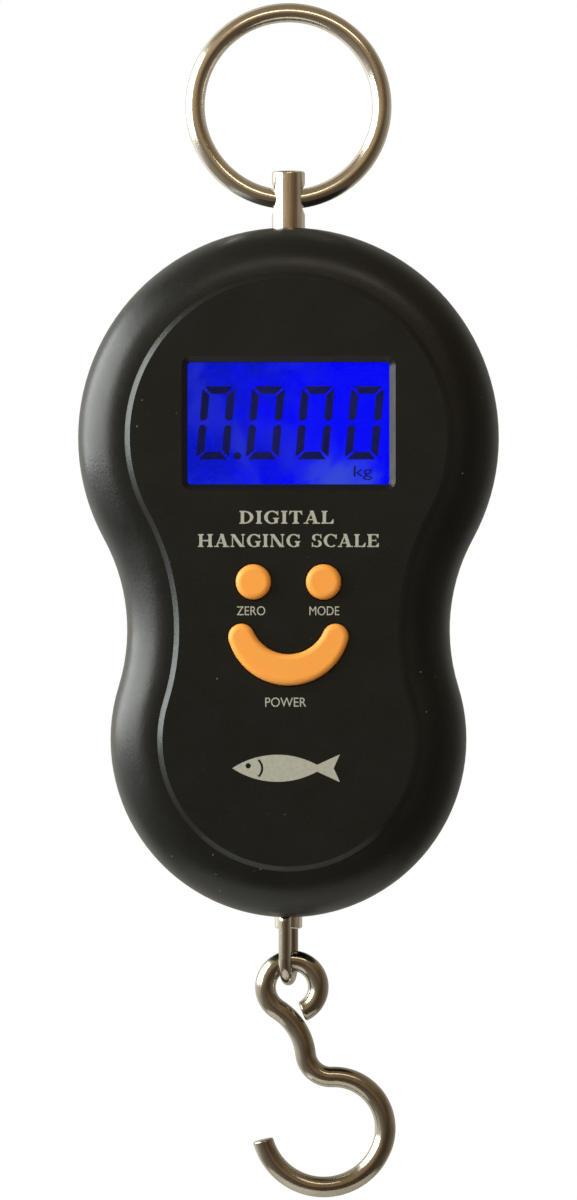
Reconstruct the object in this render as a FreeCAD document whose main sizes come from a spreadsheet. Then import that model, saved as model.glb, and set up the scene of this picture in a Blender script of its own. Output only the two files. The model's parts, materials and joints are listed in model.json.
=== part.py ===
import FreeCAD, Part
import Sketcher
import math
import os

# Digital hanging scale. Millimetres, +Z up, the display faces -Y.
# The origin is the hang point: the inside of the ring's top, where a hand or a hook carries the scale.

Vector = FreeCAD.Vector
AXIS_X = Vector(1, 0, 0)
AXIS_Y = Vector(0, 1, 0)
AXIS_Z = Vector(0, 0, 1)

SIZES = {
    # ring and its eye post
    "ring_mean_radius": 13.6,
    "ring_wire_radius": 1.4,
    "post_radius": 2.4,
    "post_above_eye": 4.1,
    "post_eye_radius": 1.65,
    "post_eye_flare": 1.0,
    "post_eye_throat": 0.3,
    "post_collar_radius": 4.5,
    "post_collar_thick": 1.6,
    "post_collar_drop": 6.2,
    "post_spigot_radius": 1.6,
    "post_spigot_length": 8.0,
    "post_spigot_reach": 7.0,
    "post_end_gap": 0.4,
    "post_edge_round": 0.4,
    "flare_outset": 0.4,
    "flare_length": 1.3,
    # case outline: two circles joined by a hollow waist
    "upper_radius": 30.5,
    "lower_radius": 25.8,
    "centre_distance": 43.7,
    "waist_radius": 27.5,
    "case_drop": 30.1,
    # case section
    "rim_front": 11.2,
    "rim_round": 6.8,
    "panel_front": 12.0,
    "panel_inset": 6.9,
    "panel_bevel": 0.75,
    "case_back": 12.0,
    "back_round": 4.0,
    "wall": 2.0,
    "front_inside": 9.4,
    "back_inside": 9.6,
    "front_inside_round": 4.8,
    "back_inside_round": 2.2,
    "parting_bevel": 0.25,
    "post_way_gap": 0.1,
    "post_way_lead": 2.0,
    "post_way_length": 10.0,
    "rib_width": 13.0,
    "rib_thick": 1.0,
    "upper_rib_drop": 4.0,
    "lower_rib_drop": 6.9,
    "cut_lead": 0.5,
    "panel_cut": 3.4,
    "sink": 0.3,
    # display
    "window_drop": 58.65,
    "window_width": 29.1,
    "window_height": 17.6,
    "window_corner": 0.5,
    "window_bevel": 0.85,
    "pane_width": 33.4,
    "pane_height": 22.2,
    "pane_thick": 1.0,
    "glass_width": 32.4,
    "glass_height": 20.8,
    "glass_thick": 1.6,
    "light_height": 18.9,
    "light_thick": 1.3,
    "frame_wall": 1.0,
    "frame_slack": 0.3,
    "strip_inset": 1.5,
    "strip_gap": 0.4,
    "layer_gap": 0.05,
    # circuit board
    "board_front": 5.2,
    "board_thick": 1.2,
    "board_width": 38.0,
    "board_top_drop": 46.4,
    "board_height": 54.0,
    "board_corner": 2.0,
    "board_hole_gap": 0.2,
    "resin_radius": 9.0,
    "resin_x": 9.0,
    "resin_drop": 74.6,
    "resin_sunk": 8.0,
    "resin_rise": 2.0,
    "resin_width": 9.0,
    "resin_height": 11.0,
    "resistor_width": 1.6,
    "resistor_height": 0.8,
    "resistor_thick": 0.5,
    "capacitor_radius": 1.2,
    "capacitor_thick": 2.2,
    # buttons
    "round_button_x": 5.05,
    "round_button_drop": 81.5,
    "round_button_radius": 2.55,
    "button_front": 12.9,
    "button_edge": 0.85,
    "button_gap": 0.16,
    "button_flange": 0.9,
    "button_flange_thick": 0.8,
    "flange_front": 9.3,
    "smile_drop": 96.4,
    "smile_outer_radius": 8.94,
    "smile_inner_radius": 5.51,
    "smile_end_radius": 1.9,
    "smile_end_x": 6.77,
    "smile_end_rise": 7.0,
    "stem_radius": 1.3,
    "power_switch_drop": 94.1,
    "switch_width": 4.5,
    "switch_thick": 1.6,
    "plunger_radius": 1.1,
    "plunger_front": 7.8,
    "plunger_length": 1.5,
    "plunger_bore_gap": 0.1,
    "plunger_bore_depth": 1.25,
    # load cell
    "cell_width": 11.0,
    "cell_thick": 6.0,
    "cell_top_drop": 54.0,
    "cell_height": 45.0,
    "cell_hole_radius": 2.0,
    "cell_hole_spacing": 12.0,
    "cell_slot": 1.2,
    "cell_bore_slack": 0.4,
    "cell_bore_lead": 1.0,
    "gauge_width": 4.0,
    "gauge_height": 6.0,
    "gauge_thick": 0.1,
    "seal_thick": 0.5,
    "seal_border": 0.8,
    "pin_radius": 0.8,
    "pin_depth": 5.0,
    # lower eye post and link
    "link_post_radius": 2.0,
    "link_post_end_drop": 131.9,
    "link_eye_drop": 128.6,
    "link_eye_radius": 1.3,
    "link_eye_flare": 0.95,
    "link_eye_throat": 0.1,
    "link_flare_length": 1.2,
    "link_wire_radius": 0.9,
    "link_half_width": 3.0,
    "link_corner_radius": 1.7,
    "link_turn": -10.0,
    "link_top_drop": 128.95,
    "link_bottom_drop": 139.3,
    "link_post_edge_round": 0.35,
    "opening_width": 10.0,
    "opening_depth": 5.0,
    "opening_lead": 3.2,
    "opening_cut": 6.0,
    # hook
    "hook_wire_radius": 1.5,
    "hook_eye_radius": 3.85,
    "hook_eye_x": 0.5,
    "hook_eye_drop": 140.45,
    "hook_eye_start": -67.6,
    "hook_eye_end": 237.7,
    "hook_tip_round": 0.3,
    # batteries: two AAA cells
    "battery_radius": 5.25,
    "battery_length": 43.7,
    "battery_nub_radius": 1.9,
    "battery_nub_length": 0.8,
    "battery_x": 12.4,
    "battery_y": 4.6,
    "battery_top_drop": 55.35,
    "tub_half_width": 5.6,
    "tub_wall": 0.9,
    "tub_floor": 0.9,
    "tub_top_drop": 53.2,
    "tub_height": 48.8,
    "tub_end_wall": 1.0,
    "tub_slack": 0.25,
    "contact_thick": 0.4,
    "contact_gap": 0.05,
    "contact_width": 9.0,
    "contact_depth": 8.0,
    "contact_nub_radius": 2.2,
    "bridge_rise": 0.15,
    "bridge_front": 4.2,
    "bridge_depth": 4.0,
    "bridge_boss_radius": 1.8,
    "bridge_slot_width": 4.0,
    "bridge_slot_depth": 4.8,
    "bridge_slot_height": 1.15,
    "bridge_slot_rise": 1.2,
    "spring_wire_radius": 0.25,
    "spring_slope": 35.0,
    # battery door
    "door_width": 37.0,
    "door_height": 50.4,
    "door_thick": 1.2,
    "door_gap": 0.12,
    "door_top_drop": 52.3,
    "door_corner": 1.6,
    "door_tab_width": 5.0,
    "door_tab_thick": 0.8,
    "door_tab_reach": 1.5,
    "door_tongue_width": 7.0,
    "door_tongue_thick": 1.0,
    "door_tongue_reach": 3.3,
    "door_edge_bevel": 0.2,
    "door_seat_gap": 0.05,
    "door_tab_back": 1.0,
    "tab_notch_slack": 0.6,
    "tab_notch_height": 4.4,
    "tab_notch_rise": 0.5,
    "tab_notch_depth": 2.6,
    "tab_notch_start": 0.8,
    "tongue_notch_slack": 0.8,
    "tongue_notch_height": 2.6,
    "tongue_notch_rise": 0.9,
    "tongue_notch_depth": 3.6,
    "grip_width": 13.0,
    "grip_groove": 0.8,
    "grip_pitch": 1.8,
    "grip_rise": 6.0,
    "grip_depth": 0.45,
    # fasteners
    "screw_head_radius": 2.0,
    "screw_head_height": 1.5,
    "screw_shank_radius": 1.0,
    "screw_seat": 3.0,
    "screw_length": 10.0,
    "screw_pilot": 8.6,
    "screw_hole_gap": 0.2,
    "screw_head_gap": 0.25,
    "screw_slot_length": 2.4,
    "screw_slot_width": 0.6,
    "screw_slot_depth": 0.7,
    "boss_radius": 2.75,
    "rear_boss_extra": 0.35,
    "upper_screw_x": 15.0,
    "upper_screw_drop": 42.0,
    "lower_screw_x": 12.8,
    "lower_screw_drop": 117.0,
    "board_screw_head_radius": 1.6,
    "board_screw_head_height": 1.0,
    "board_screw_shank_radius": 0.7,
    "board_screw_length": 3.0,
    "board_screw_pilot": 3.2,
    "board_boss_radius": 1.9,
    "board_upper_screw_x": 16.6,
    "board_upper_screw_drop": 73.6,
    "board_lower_screw_x": 13.6,
    "board_lower_screw_drop": 97.4,
    "drill_gap": 0.05,
    # wires
    "wire_radius": 0.4,
    "gauge_wire_radius": 0.3,
    "gauge_wire_spacing": 1.1,
    "gauge_wire_rise": 3.0,
    "lead_rise": 2.6,
    "lead_back": 4.0,
}

# The hook below its eye: bends of (radius, turn in degrees), a positive turn is to the left.
HOOK_BENDS = [(8.8, -51.7), (3.7, 86.2), (7.5, -113.2), (9.1, -145.0)]

doc = FreeCAD.newDocument("hanging_scale")
sheet = doc.addObject("Spreadsheet::Sheet", "dims")
for row, (alias, number) in enumerate(SIZES.items(), start=1):
    sheet.set(f"A{row}", alias)
    sheet.set(f"B{row}", str(number))
    sheet.setAlias(f"B{row}", alias)
doc.recompute()

subparts = []


# ---------------------------------------------------------------- helpers

def dims(text):
    """Write an expression with bare aliases as one that FreeCAD reads from the sheet."""
    words = []
    word = ""
    for letter in text + " ":
        if letter.isalpha() or letter == "_":
            word += letter
            continue
        words.append(f"dims.{word}" if word in SIZES else word)
        words.append(letter)
        word = ""
    return "".join(words).strip()


def value(text):
    """The number that an expression gives now."""
    result = sheet.evalExpression(dims(text))
    return float(getattr(result, "Value", result))


def bind(thing, **expressions):
    """Bind properties to the sheet; a double underscore stands for a dot."""
    for name, text in expressions.items():
        thing.setExpression(name.replace("__", "."), dims(text))


def subpart(thing, label):
    """Mark an object as a finished piece of the scale."""
    thing.Label = label
    subparts.append(thing)
    return thing


def place(thing, x, y, z):
    bind(thing, Placement__Base__x=x, Placement__Base__y=y, Placement__Base__z=z)
    return thing


def block(name, centre_x, low_y, low_z, width, depth, height):
    """A box, centred on centre_x."""
    box = doc.addObject("Part::Box", name)
    bind(box, Length=width, Width=depth, Height=height)
    return place(box, f"{centre_x} - ({width}) / 2", low_y, low_z)


def rod_along_y(name, x, low_y, z, radius, length):
    rod = doc.addObject("Part::Cylinder", name)
    rod.Placement = FreeCAD.Placement(Vector(), FreeCAD.Rotation(AXIS_X, -90))
    bind(rod, Radius=radius, Height=length)
    return place(rod, x, low_y, z)


def rod_along_z(name, x, y, low_z, radius, length):
    rod = doc.addObject("Part::Cylinder", name)
    bind(rod, Radius=radius, Height=length)
    return place(rod, x, y, low_z)


def rod_along_x(name, low_x, y, z, radius, length):
    rod = doc.addObject("Part::Cylinder", name)
    rod.Placement = FreeCAD.Placement(Vector(), FreeCAD.Rotation(AXIS_Y, 90))
    bind(rod, Radius=radius, Height=length)
    return place(rod, low_x, y, z)


def cone_along_y(name, y, z, radius, end_radius, length, backwards=False):
    cone = doc.addObject("Part::Cone", name)
    angle = 90 if backwards else -90
    cone.Placement = FreeCAD.Placement(Vector(), FreeCAD.Rotation(AXIS_X, angle))
    bind(cone, Radius1=radius, Radius2=end_radius, Height=length)
    return place(cone, "0", y, z)


def cone_along_x(name, x, z, radius, end_radius, length, backwards=False):
    cone = doc.addObject("Part::Cone", name)
    angle = -90 if backwards else 90
    cone.Placement = FreeCAD.Placement(Vector(), FreeCAD.Rotation(AXIS_Y, angle))
    bind(cone, Radius1=radius, Radius2=end_radius, Height=length)
    return place(cone, x, "0", z)


def fuse(name, pieces):
    joined = doc.addObject("Part::MultiFuse", name)
    joined.Shapes = pieces
    joined.Refine = True
    return joined


def cut(name, base, tools):
    tool = tools[0] if len(tools) == 1 else fuse(name + "_tool", tools)
    result = doc.addObject("Part::Cut", name)
    result.Base = base
    result.Tool = tool
    result.Refine = True
    return result


def group(name, pieces):
    """Identical separate solids in one node."""
    together = doc.addObject("Part::Compound", name)
    together.Links = pieces
    return together


def new_body(name):
    return doc.addObject("PartDesign::Body", name)


def sketch_on(body, name, role, offset):
    """A sketch on one of the body's own planes, moved along the plane's normal."""
    sketch = body.newObject("Sketcher::SketchObject", name)
    plane = next(item for item in body.Origin.OriginFeatures if item.Role == role)
    sketch.AttachmentSupport = [(plane, "")]
    sketch.MapMode = "FlatFace"
    bind(sketch, AttachmentOffset__Base__z=offset)
    return sketch


def front_sketch(body, name, at_y):
    """A sketch that lies in XZ at the depth at_y; its normal is -Y."""
    return sketch_on(body, name, "XZ_Plane", f"-({at_y})")


def level_sketch(body, name, at_z):
    """A sketch that lies in XY at the height at_z."""
    return sketch_on(body, name, "XY_Plane", at_z)


def constrain(sketch, expression, *definition):
    """Add one dimension to a sketch and bind it to the sheet."""
    index = sketch.addConstraint(Sketcher.Constraint(*definition, value(expression)))
    sketch.setExpression(f"Constraints[{index}]", dims(expression))


def add_circle(sketch, x, y, radius):
    centre = Vector(value(x), value(y), 0)
    circle = sketch.addGeometry(Part.Circle(centre, AXIS_Z, value(radius)))
    constrain(sketch, x, "DistanceX", -1, 1, circle, 3)
    constrain(sketch, y, "DistanceY", -1, 1, circle, 3)
    constrain(sketch, radius, "Radius", circle)


def add_rectangle(sketch, x, y, width, height):
    """A rectangle centred on (x, y)."""
    left = f"{x} - ({width}) / 2"
    low = f"{y} - ({height}) / 2"
    x0, y0, wide, high = (value(text) for text in (left, low, width, height))
    x1 = x0 + wide
    y1 = y0 + high
    corners = [Vector(x0, y0, 0), Vector(x1, y0, 0), Vector(x1, y1, 0), Vector(x0, y1, 0)]
    first = None
    for index, corner in enumerate(corners):
        line = sketch.addGeometry(Part.LineSegment(corner, corners[(index + 1) % 4]))
        first = line if first is None else first
    for index in range(4):
        following = first + (index + 1) % 4
        sketch.addConstraint(Sketcher.Constraint("Coincident", first + index, 2, following, 1))
        direction = "Horizontal" if index % 2 == 0 else "Vertical"
        sketch.addConstraint(Sketcher.Constraint(direction, first + index))
    constrain(sketch, left, "DistanceX", -1, 1, first, 1)
    constrain(sketch, low, "DistanceY", -1, 1, first, 1)
    constrain(sketch, width, "DistanceX", first, 1, first, 2)
    constrain(sketch, height, "DistanceY", first + 1, 1, first + 1, 2)


def add_case_outline(sketch, inset):
    """Two circles joined by hollow arcs, all moved inward by inset."""
    upper = value(f"upper_radius - ({inset})")
    lower = value(f"lower_radius - ({inset})")
    waist = value(f"waist_radius + ({inset})")
    upper_z = -value("case_drop + upper_radius")
    lower_z = upper_z - value("centre_distance")
    reach_upper = upper + waist
    reach_lower = lower + waist
    apart = upper_z - lower_z
    # the hollow arc's centre is where circles of both reaches, about both centres, cross
    below = (reach_upper ** 2 - reach_lower ** 2 + apart ** 2) / (2 * apart)
    waist_x = math.sqrt(reach_upper ** 2 - below ** 2)
    waist_z = upper_z - below
    dip = math.atan2(below, waist_x)
    rise = math.atan2(apart - below, waist_x)

    def arc(x, z, radius, start, end):
        circle = Part.Circle(Vector(x, z, 0), AXIS_Z, radius)
        return sketch.addGeometry(Part.ArcOfCircle(circle, start, end))

    top = arc(0, upper_z, upper, -dip, math.pi + dip)
    left = arc(-waist_x, waist_z, waist, -rise, dip)
    bottom = arc(0, lower_z, lower, math.pi - rise, 2 * math.pi + rise)
    right = arc(waist_x, waist_z, waist, math.pi - dip, math.pi + rise)
    joints = [(top, 2, left, 2), (left, 1, bottom, 1), (bottom, 2, right, 2), (right, 1, top, 1)]
    for one, end, other, start in joints:
        sketch.addConstraint(Sketcher.Constraint("Tangent", one, end, other, start))
    sketch.addConstraint(Sketcher.Constraint("PointOnObject", top, 3, -2))
    sketch.addConstraint(Sketcher.Constraint("PointOnObject", bottom, 3, -2))
    sketch.addConstraint(Sketcher.Constraint("Equal", left, right))
    constrain(sketch, "case_drop + upper_radius", "DistanceY", top, 3, -1, 1)
    constrain(sketch, "centre_distance", "DistanceY", bottom, 3, top, 3)
    constrain(sketch, f"upper_radius - ({inset})", "Radius", top)
    constrain(sketch, f"lower_radius - ({inset})", "Radius", bottom)
    constrain(sketch, f"waist_radius + ({inset})", "Radius", right)


def add_smile_outline(sketch, grow):
    """A curved bar with round ends; grow moves its outline outward."""
    outer = value(f"smile_outer_radius + ({grow})")
    inner = value(f"smile_inner_radius - ({grow})")
    end = value(f"smile_end_radius + ({grow})")
    end_x = value("smile_end_x")
    end_z = value("smile_end_rise - smile_drop")
    outer_z = end_z + math.sqrt((outer - end) ** 2 - end_x ** 2)
    inner_z = end_z + math.sqrt((inner + end) ** 2 - end_x ** 2)
    outer_tilt = math.atan2(end_z - outer_z, end_x)
    inner_tilt = math.atan2(end_z - inner_z, end_x)

    def arc(x, z, radius, start, stop):
        circle = Part.Circle(Vector(x, z, 0), AXIS_Z, radius)
        return sketch.addGeometry(Part.ArcOfCircle(circle, start, stop))

    below = arc(0, outer_z, outer, math.pi - outer_tilt, 2 * math.pi + outer_tilt)
    right = arc(end_x, end_z, end, outer_tilt, math.pi + inner_tilt)
    above = arc(0, inner_z, inner, math.pi - inner_tilt, 2 * math.pi + inner_tilt)
    left = arc(-end_x, end_z, end, -inner_tilt, math.pi - outer_tilt)
    joints = [(below, 2, right, 1), (right, 2, above, 2), (above, 1, left, 1), (left, 2, below, 1)]
    for one, end_point, other, start_point in joints:
        sketch.addConstraint(Sketcher.Constraint("Tangent", one, end_point, other, start_point))
    sketch.addConstraint(Sketcher.Constraint("PointOnObject", below, 3, -2))
    sketch.addConstraint(Sketcher.Constraint("PointOnObject", above, 3, -2))
    sketch.addConstraint(Sketcher.Constraint("Equal", right, left))
    constrain(sketch, "smile_end_x", "DistanceX", -1, 1, right, 3)
    constrain(sketch, "smile_drop - smile_end_rise", "DistanceY", right, 3, -1, 1)
    constrain(sketch, f"smile_outer_radius + ({grow})", "Radius", below)
    constrain(sketch, f"smile_inner_radius - ({grow})", "Radius", above)
    constrain(sketch, f"smile_end_radius + ({grow})", "Radius", right)


def pad(body, name, sketch, length, towards_back=False):
    feature = body.newObject("PartDesign::Pad", name)
    feature.Profile = sketch
    feature.Reversed = towards_back
    bind(feature, Length=length)
    doc.recompute()
    return feature


def pocket(body, name, sketch, length, towards_front=False):
    """A pocket cuts against its sketch's normal unless towards_front is set."""
    before = body.Shape.Volume
    feature = body.newObject("PartDesign::Pocket", name)
    feature.Profile = sketch
    feature.Reversed = towards_front
    bind(feature, Length=length)
    doc.recompute()
    if body.Shape.Volume >= before - 0.01:
        raise RuntimeError(f"{name} cuts nothing")
    return feature


def flat_face_edges(feature, at_y):
    """Names of the edges that lie in the plane y = at_y."""
    names = []
    for index, edge in enumerate(feature.Shape.Edges, start=1):
        box = edge.BoundBox
        if abs(box.YMin - at_y) < 1e-4 and abs(box.YMax - at_y) < 1e-4:
            names.append(f"Edge{index}")
    return names


def outer_parting_edges(feature):
    """Names of the case outline's own edges in the parting plane y = 0."""
    outline = {round(value(name), 3) for name in ("upper_radius", "lower_radius", "waist_radius")}
    names = []
    for name in flat_face_edges(feature, 0.0):
        curve = feature.Shape.Edges[int(name[4:]) - 1].Curve
        if round(getattr(curve, "Radius", 0.0), 3) in outline:
            names.append(name)
    return names


def edges_along_y(feature, test):
    names = []
    for index, edge in enumerate(feature.Shape.Edges, start=1):
        box = edge.BoundBox
        if box.XLength < 1e-4 and box.ZLength < 1e-4 and test(box.XMin, box.ZMin, box):
            names.append(f"Edge{index}")
    return names


def fillet(body, name, feature, edges, radius):
    rounded = body.newObject("PartDesign::Fillet", name)
    rounded.Base = (feature, edges)
    bind(rounded, Radius=radius)
    doc.recompute()
    return rounded


def chamfer(body, name, feature, edges, size):
    bevel = body.newObject("PartDesign::Chamfer", name)
    bevel.Base = (feature, edges)
    bind(bevel, Size=size)
    doc.recompute()
    return bevel


def bent_rod(start, heading, bend_axis, radius, steps):
    """Round wire along straight runs and tangent bends.

    steps holds ("run", length) and ("bend", radius, degrees about bend_axis).
    """
    section = Part.Face(Part.Wire(Part.makeCircle(radius, start, heading)))
    pieces = []
    position = Vector(start)
    for step in steps:
        if step[0] == "run":
            move = heading * step[1]
            pieces.append(section.extrude(move))
            section = section.translated(move)
            position = position + move
            continue
        bend_radius, degrees = step[1], step[2]
        side = 1 if degrees > 0 else -1
        centre = position + bend_axis.cross(heading) * (bend_radius * side)
        pieces.append(section.revolve(centre, bend_axis * side, abs(degrees)))
        turn = FreeCAD.Rotation(bend_axis, degrees)
        position = centre + turn.multVec(position - centre)
        section = section.rotated(centre, bend_axis, degrees)
        heading = turn.multVec(heading)
    return pieces[0].multiFuse(pieces[1:]).removeSplitter()


def feature_from(name, shape):
    feature = doc.addObject("Part::Feature", name)
    feature.Shape = shape
    feature.Placement = FreeCAD.Placement()
    return feature


# ---------------------------------------------------------------- ring and posts

def make_hanging_ring():
    ring = doc.addObject("Part::Torus", "hanging_ring")
    ring.Placement = FreeCAD.Placement(Vector(), FreeCAD.Rotation(AXIS_X, 90))
    bind(ring, Radius1="ring_mean_radius", Radius2="ring_wire_radius")
    place(ring, "0", "0", "ring_wire_radius - ring_mean_radius")
    subpart(ring, "hanging_ring")


RING_AXIS_Z = "(ring_wire_radius - 2 * ring_mean_radius)"


def make_ring_post():
    """Eye post: cross hole for the ring, a collar that carries the case, a spigot into the load cell."""
    top = f"{RING_AXIS_Z} + post_above_eye"
    shaft = rod_along_z("ring_post_shaft", "0", "0", "post_end_gap - cell_top_drop", "post_radius",
                        f"{top} + cell_top_drop - post_end_gap")
    collar = rod_along_z("ring_post_collar", "0", "0", "-(case_drop + post_collar_drop)",
                         "post_collar_radius", "post_collar_thick")
    spigot = rod_along_z("ring_post_spigot", "0", "0", "-(cell_top_drop + post_spigot_reach)",
                         "post_spigot_radius", "post_spigot_length")
    blank = fuse("ring_post_blank", [shaft, collar, spigot])
    eye = rod_along_x("ring_post_eye", "-2 * post_radius", "0", RING_AXIS_Z, "post_eye_radius",
                      "4 * post_radius")
    wide = "post_eye_radius + post_eye_flare"
    narrow = "post_eye_radius - post_eye_throat"
    left = cone_along_x("ring_post_left_flare", "-(post_radius + flare_outset)", RING_AXIS_Z, wide, narrow,
                        "flare_length")
    right = cone_along_x("ring_post_right_flare", "post_radius + flare_outset", RING_AXIS_Z, wide, narrow,
                         "flare_length", backwards=True)
    pin = rod_along_x("ring_post_pin_hole", "-cell_width", "0", "-(cell_top_drop + pin_depth)",
                      "pin_radius + drill_gap", "2 * cell_width")
    drilled = cut("ring_post_drilled", blank, [eye, left, right, pin])
    doc.recompute()
    round_end("ring_post", drilled, value(top), value("post_edge_round"))


def round_end(name, drilled, at_z, radius):
    """Round the one rim that lies at the height at_z and finish the piece."""
    edges = []
    for index, edge in enumerate(drilled.Shape.Edges, start=1):
        if abs(edge.BoundBox.ZMin - at_z) < 1e-4 and abs(edge.BoundBox.ZMax - at_z) < 1e-4:
            edges.append((index, radius, radius))
    rounded = doc.addObject("Part::Fillet", name)
    rounded.Base = drilled
    rounded.Edges = edges
    subpart(rounded, name)


def turn_with_link(tool, along_y):
    """Swing a drilling tool about the post's own axis, so the eye faces along the link's upper wire."""
    turn = FreeCAD.Rotation(AXIS_Z, value("link_turn"))
    tool.Placement = FreeCAD.Placement(tool.Placement.Base, turn.multiply(tool.Placement.Rotation))
    bind(tool, Placement__Base__x=f"-({along_y}) * sin(link_turn)",
         Placement__Base__y=f"({along_y}) * cos(link_turn)")
    return tool


def make_link_post():
    """Lower eye post: a spigot into the load cell, a round end with a cross hole for the link."""
    end = "-link_post_end_drop"
    cell_low = "(cell_top_drop + cell_height)"
    shaft = rod_along_z("link_post_shaft", "0", "0", end, "link_post_radius",
                        f"link_post_end_drop - {cell_low} - post_end_gap")
    spigot = rod_along_z("link_post_spigot", "0", "0", f"post_spigot_reach - {cell_low} - post_spigot_length",
                         "post_spigot_radius", "post_spigot_length")
    blank = fuse("link_post_blank", [shaft, spigot])
    start = "-2 * link_post_radius"
    eye = rod_along_y("link_post_eye", "0", start, "-link_eye_drop", "link_eye_radius",
                      "4 * link_post_radius")
    turn_with_link(eye, start)
    wide = "link_eye_radius + link_eye_flare"
    narrow = "link_eye_radius - link_eye_throat"
    mouth = "link_post_radius + flare_outset"
    front = cone_along_y("link_post_front_flare", f"-({mouth})", "-link_eye_drop", wide, narrow,
                         "link_flare_length")
    turn_with_link(front, f"-({mouth})")
    rear = cone_along_y("link_post_rear_flare", mouth, "-link_eye_drop", wide, narrow, "link_flare_length",
                        backwards=True)
    turn_with_link(rear, mouth)
    pin = rod_along_x("link_post_pin_hole", "-cell_width", "0", f"pin_depth - {cell_low}",
                      "pin_radius + drill_gap", "2 * cell_width")
    drilled = cut("link_post_drilled", blank, [eye, front, rear, pin])
    doc.recompute()
    round_end("link_post", drilled, value(end), value("link_post_edge_round"))


def make_hook_link():
    """Closed wire loop: flat top through the post's eye, straight legs, round bottom for the hook."""
    half = value("link_half_width")
    corner = value("link_corner_radius")
    top_z = -value("link_top_drop")
    leg = value("link_bottom_drop - link_top_drop - link_half_width - link_corner_radius")
    steps = [
        ("run", half - corner),
        ("bend", corner, 90),
        ("run", leg),
        ("bend", half, 180),
        ("run", leg),
        ("bend", corner, 90),
        ("run", half - corner),
    ]
    turn = FreeCAD.Rotation(AXIS_Z, value("link_turn"))
    heading = turn.multVec(-AXIS_Y)
    bend_axis = turn.multVec(AXIS_X)
    loop = bent_rod(Vector(0, 0, top_z), heading, bend_axis, value("link_wire_radius"), steps)
    subpart(feature_from("hook_link", loop), "hook_link")


def make_hook():
    """Bent wire: an eye in the XZ plane, an offset shank and a round bowl with a cut tip."""
    eye_radius = value("hook_eye_radius")
    start_angle = math.radians(value("hook_eye_start"))
    centre = Vector(value("hook_eye_x"), 0, -value("hook_eye_drop"))
    start = centre + Vector(math.cos(start_angle), 0, math.sin(start_angle)) * eye_radius
    heading = Vector(-math.sin(start_angle), 0, math.cos(start_angle))
    steps = [("bend", eye_radius, value("hook_eye_end - hook_eye_start"))]
    steps += [("bend", radius, turn) for radius, turn in HOOK_BENDS]
    wire = bent_rod(start, heading, -AXIS_Y, value("hook_wire_radius"), steps)
    ends = [edge for edge in wire.Edges if is_end_rim(edge, wire)]
    wire = wire.makeFillet(value("hook_tip_round"), ends)
    subpart(feature_from("hook", wire), "hook")


def is_end_rim(edge, solid):
    """True for a circle that borders a flat end face."""
    for face in solid.Faces:
        if face.Surface.TypeId == "Part::GeomPlane":
            if any(edge.isSame(border) for border in face.Edges):
                return True
    return False


# ---------------------------------------------------------------- case

SCREW_PLACES = [
    ("upper_left", "-upper_screw_x", "-upper_screw_drop"),
    ("upper_right", "upper_screw_x", "-upper_screw_drop"),
    ("lower_left", "-lower_screw_x", "-lower_screw_drop"),
    ("lower_right", "lower_screw_x", "-lower_screw_drop"),
]

BOARD_SCREW_PLACES = [
    ("upper_left", "-board_upper_screw_x", "-board_upper_screw_drop"),
    ("upper_right", "board_upper_screw_x", "-board_upper_screw_drop"),
    ("lower_left", "-board_lower_screw_x", "-board_lower_screw_drop"),
    ("lower_right", "board_lower_screw_x", "-board_lower_screw_drop"),
]

COLLAR_RIBS = ["-(case_drop + upper_rib_drop)", "-(case_drop + lower_rib_drop)"]


CASE_LOW_DROP = "case_drop + upper_radius + centre_distance + lower_radius"


def cut_post_ways(body, depth_centre):
    """Round way for the ring post in the top wall, and the link's opening in the bottom wall."""
    way = level_sketch(body, body.Name + "_post_way", "post_way_lead - case_drop")
    add_circle(way, "0", "0", "post_radius + post_way_gap")
    pocket(body, body.Name + "_post_way_cut", way, "post_way_length")
    opening = level_sketch(body, body.Name + "_link_opening", f"opening_lead - ({CASE_LOW_DROP})")
    add_rectangle(opening, "0", depth_centre, "opening_width", "opening_depth")
    pocket(body, body.Name + "_link_opening_cut", opening, "opening_cut")


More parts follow.
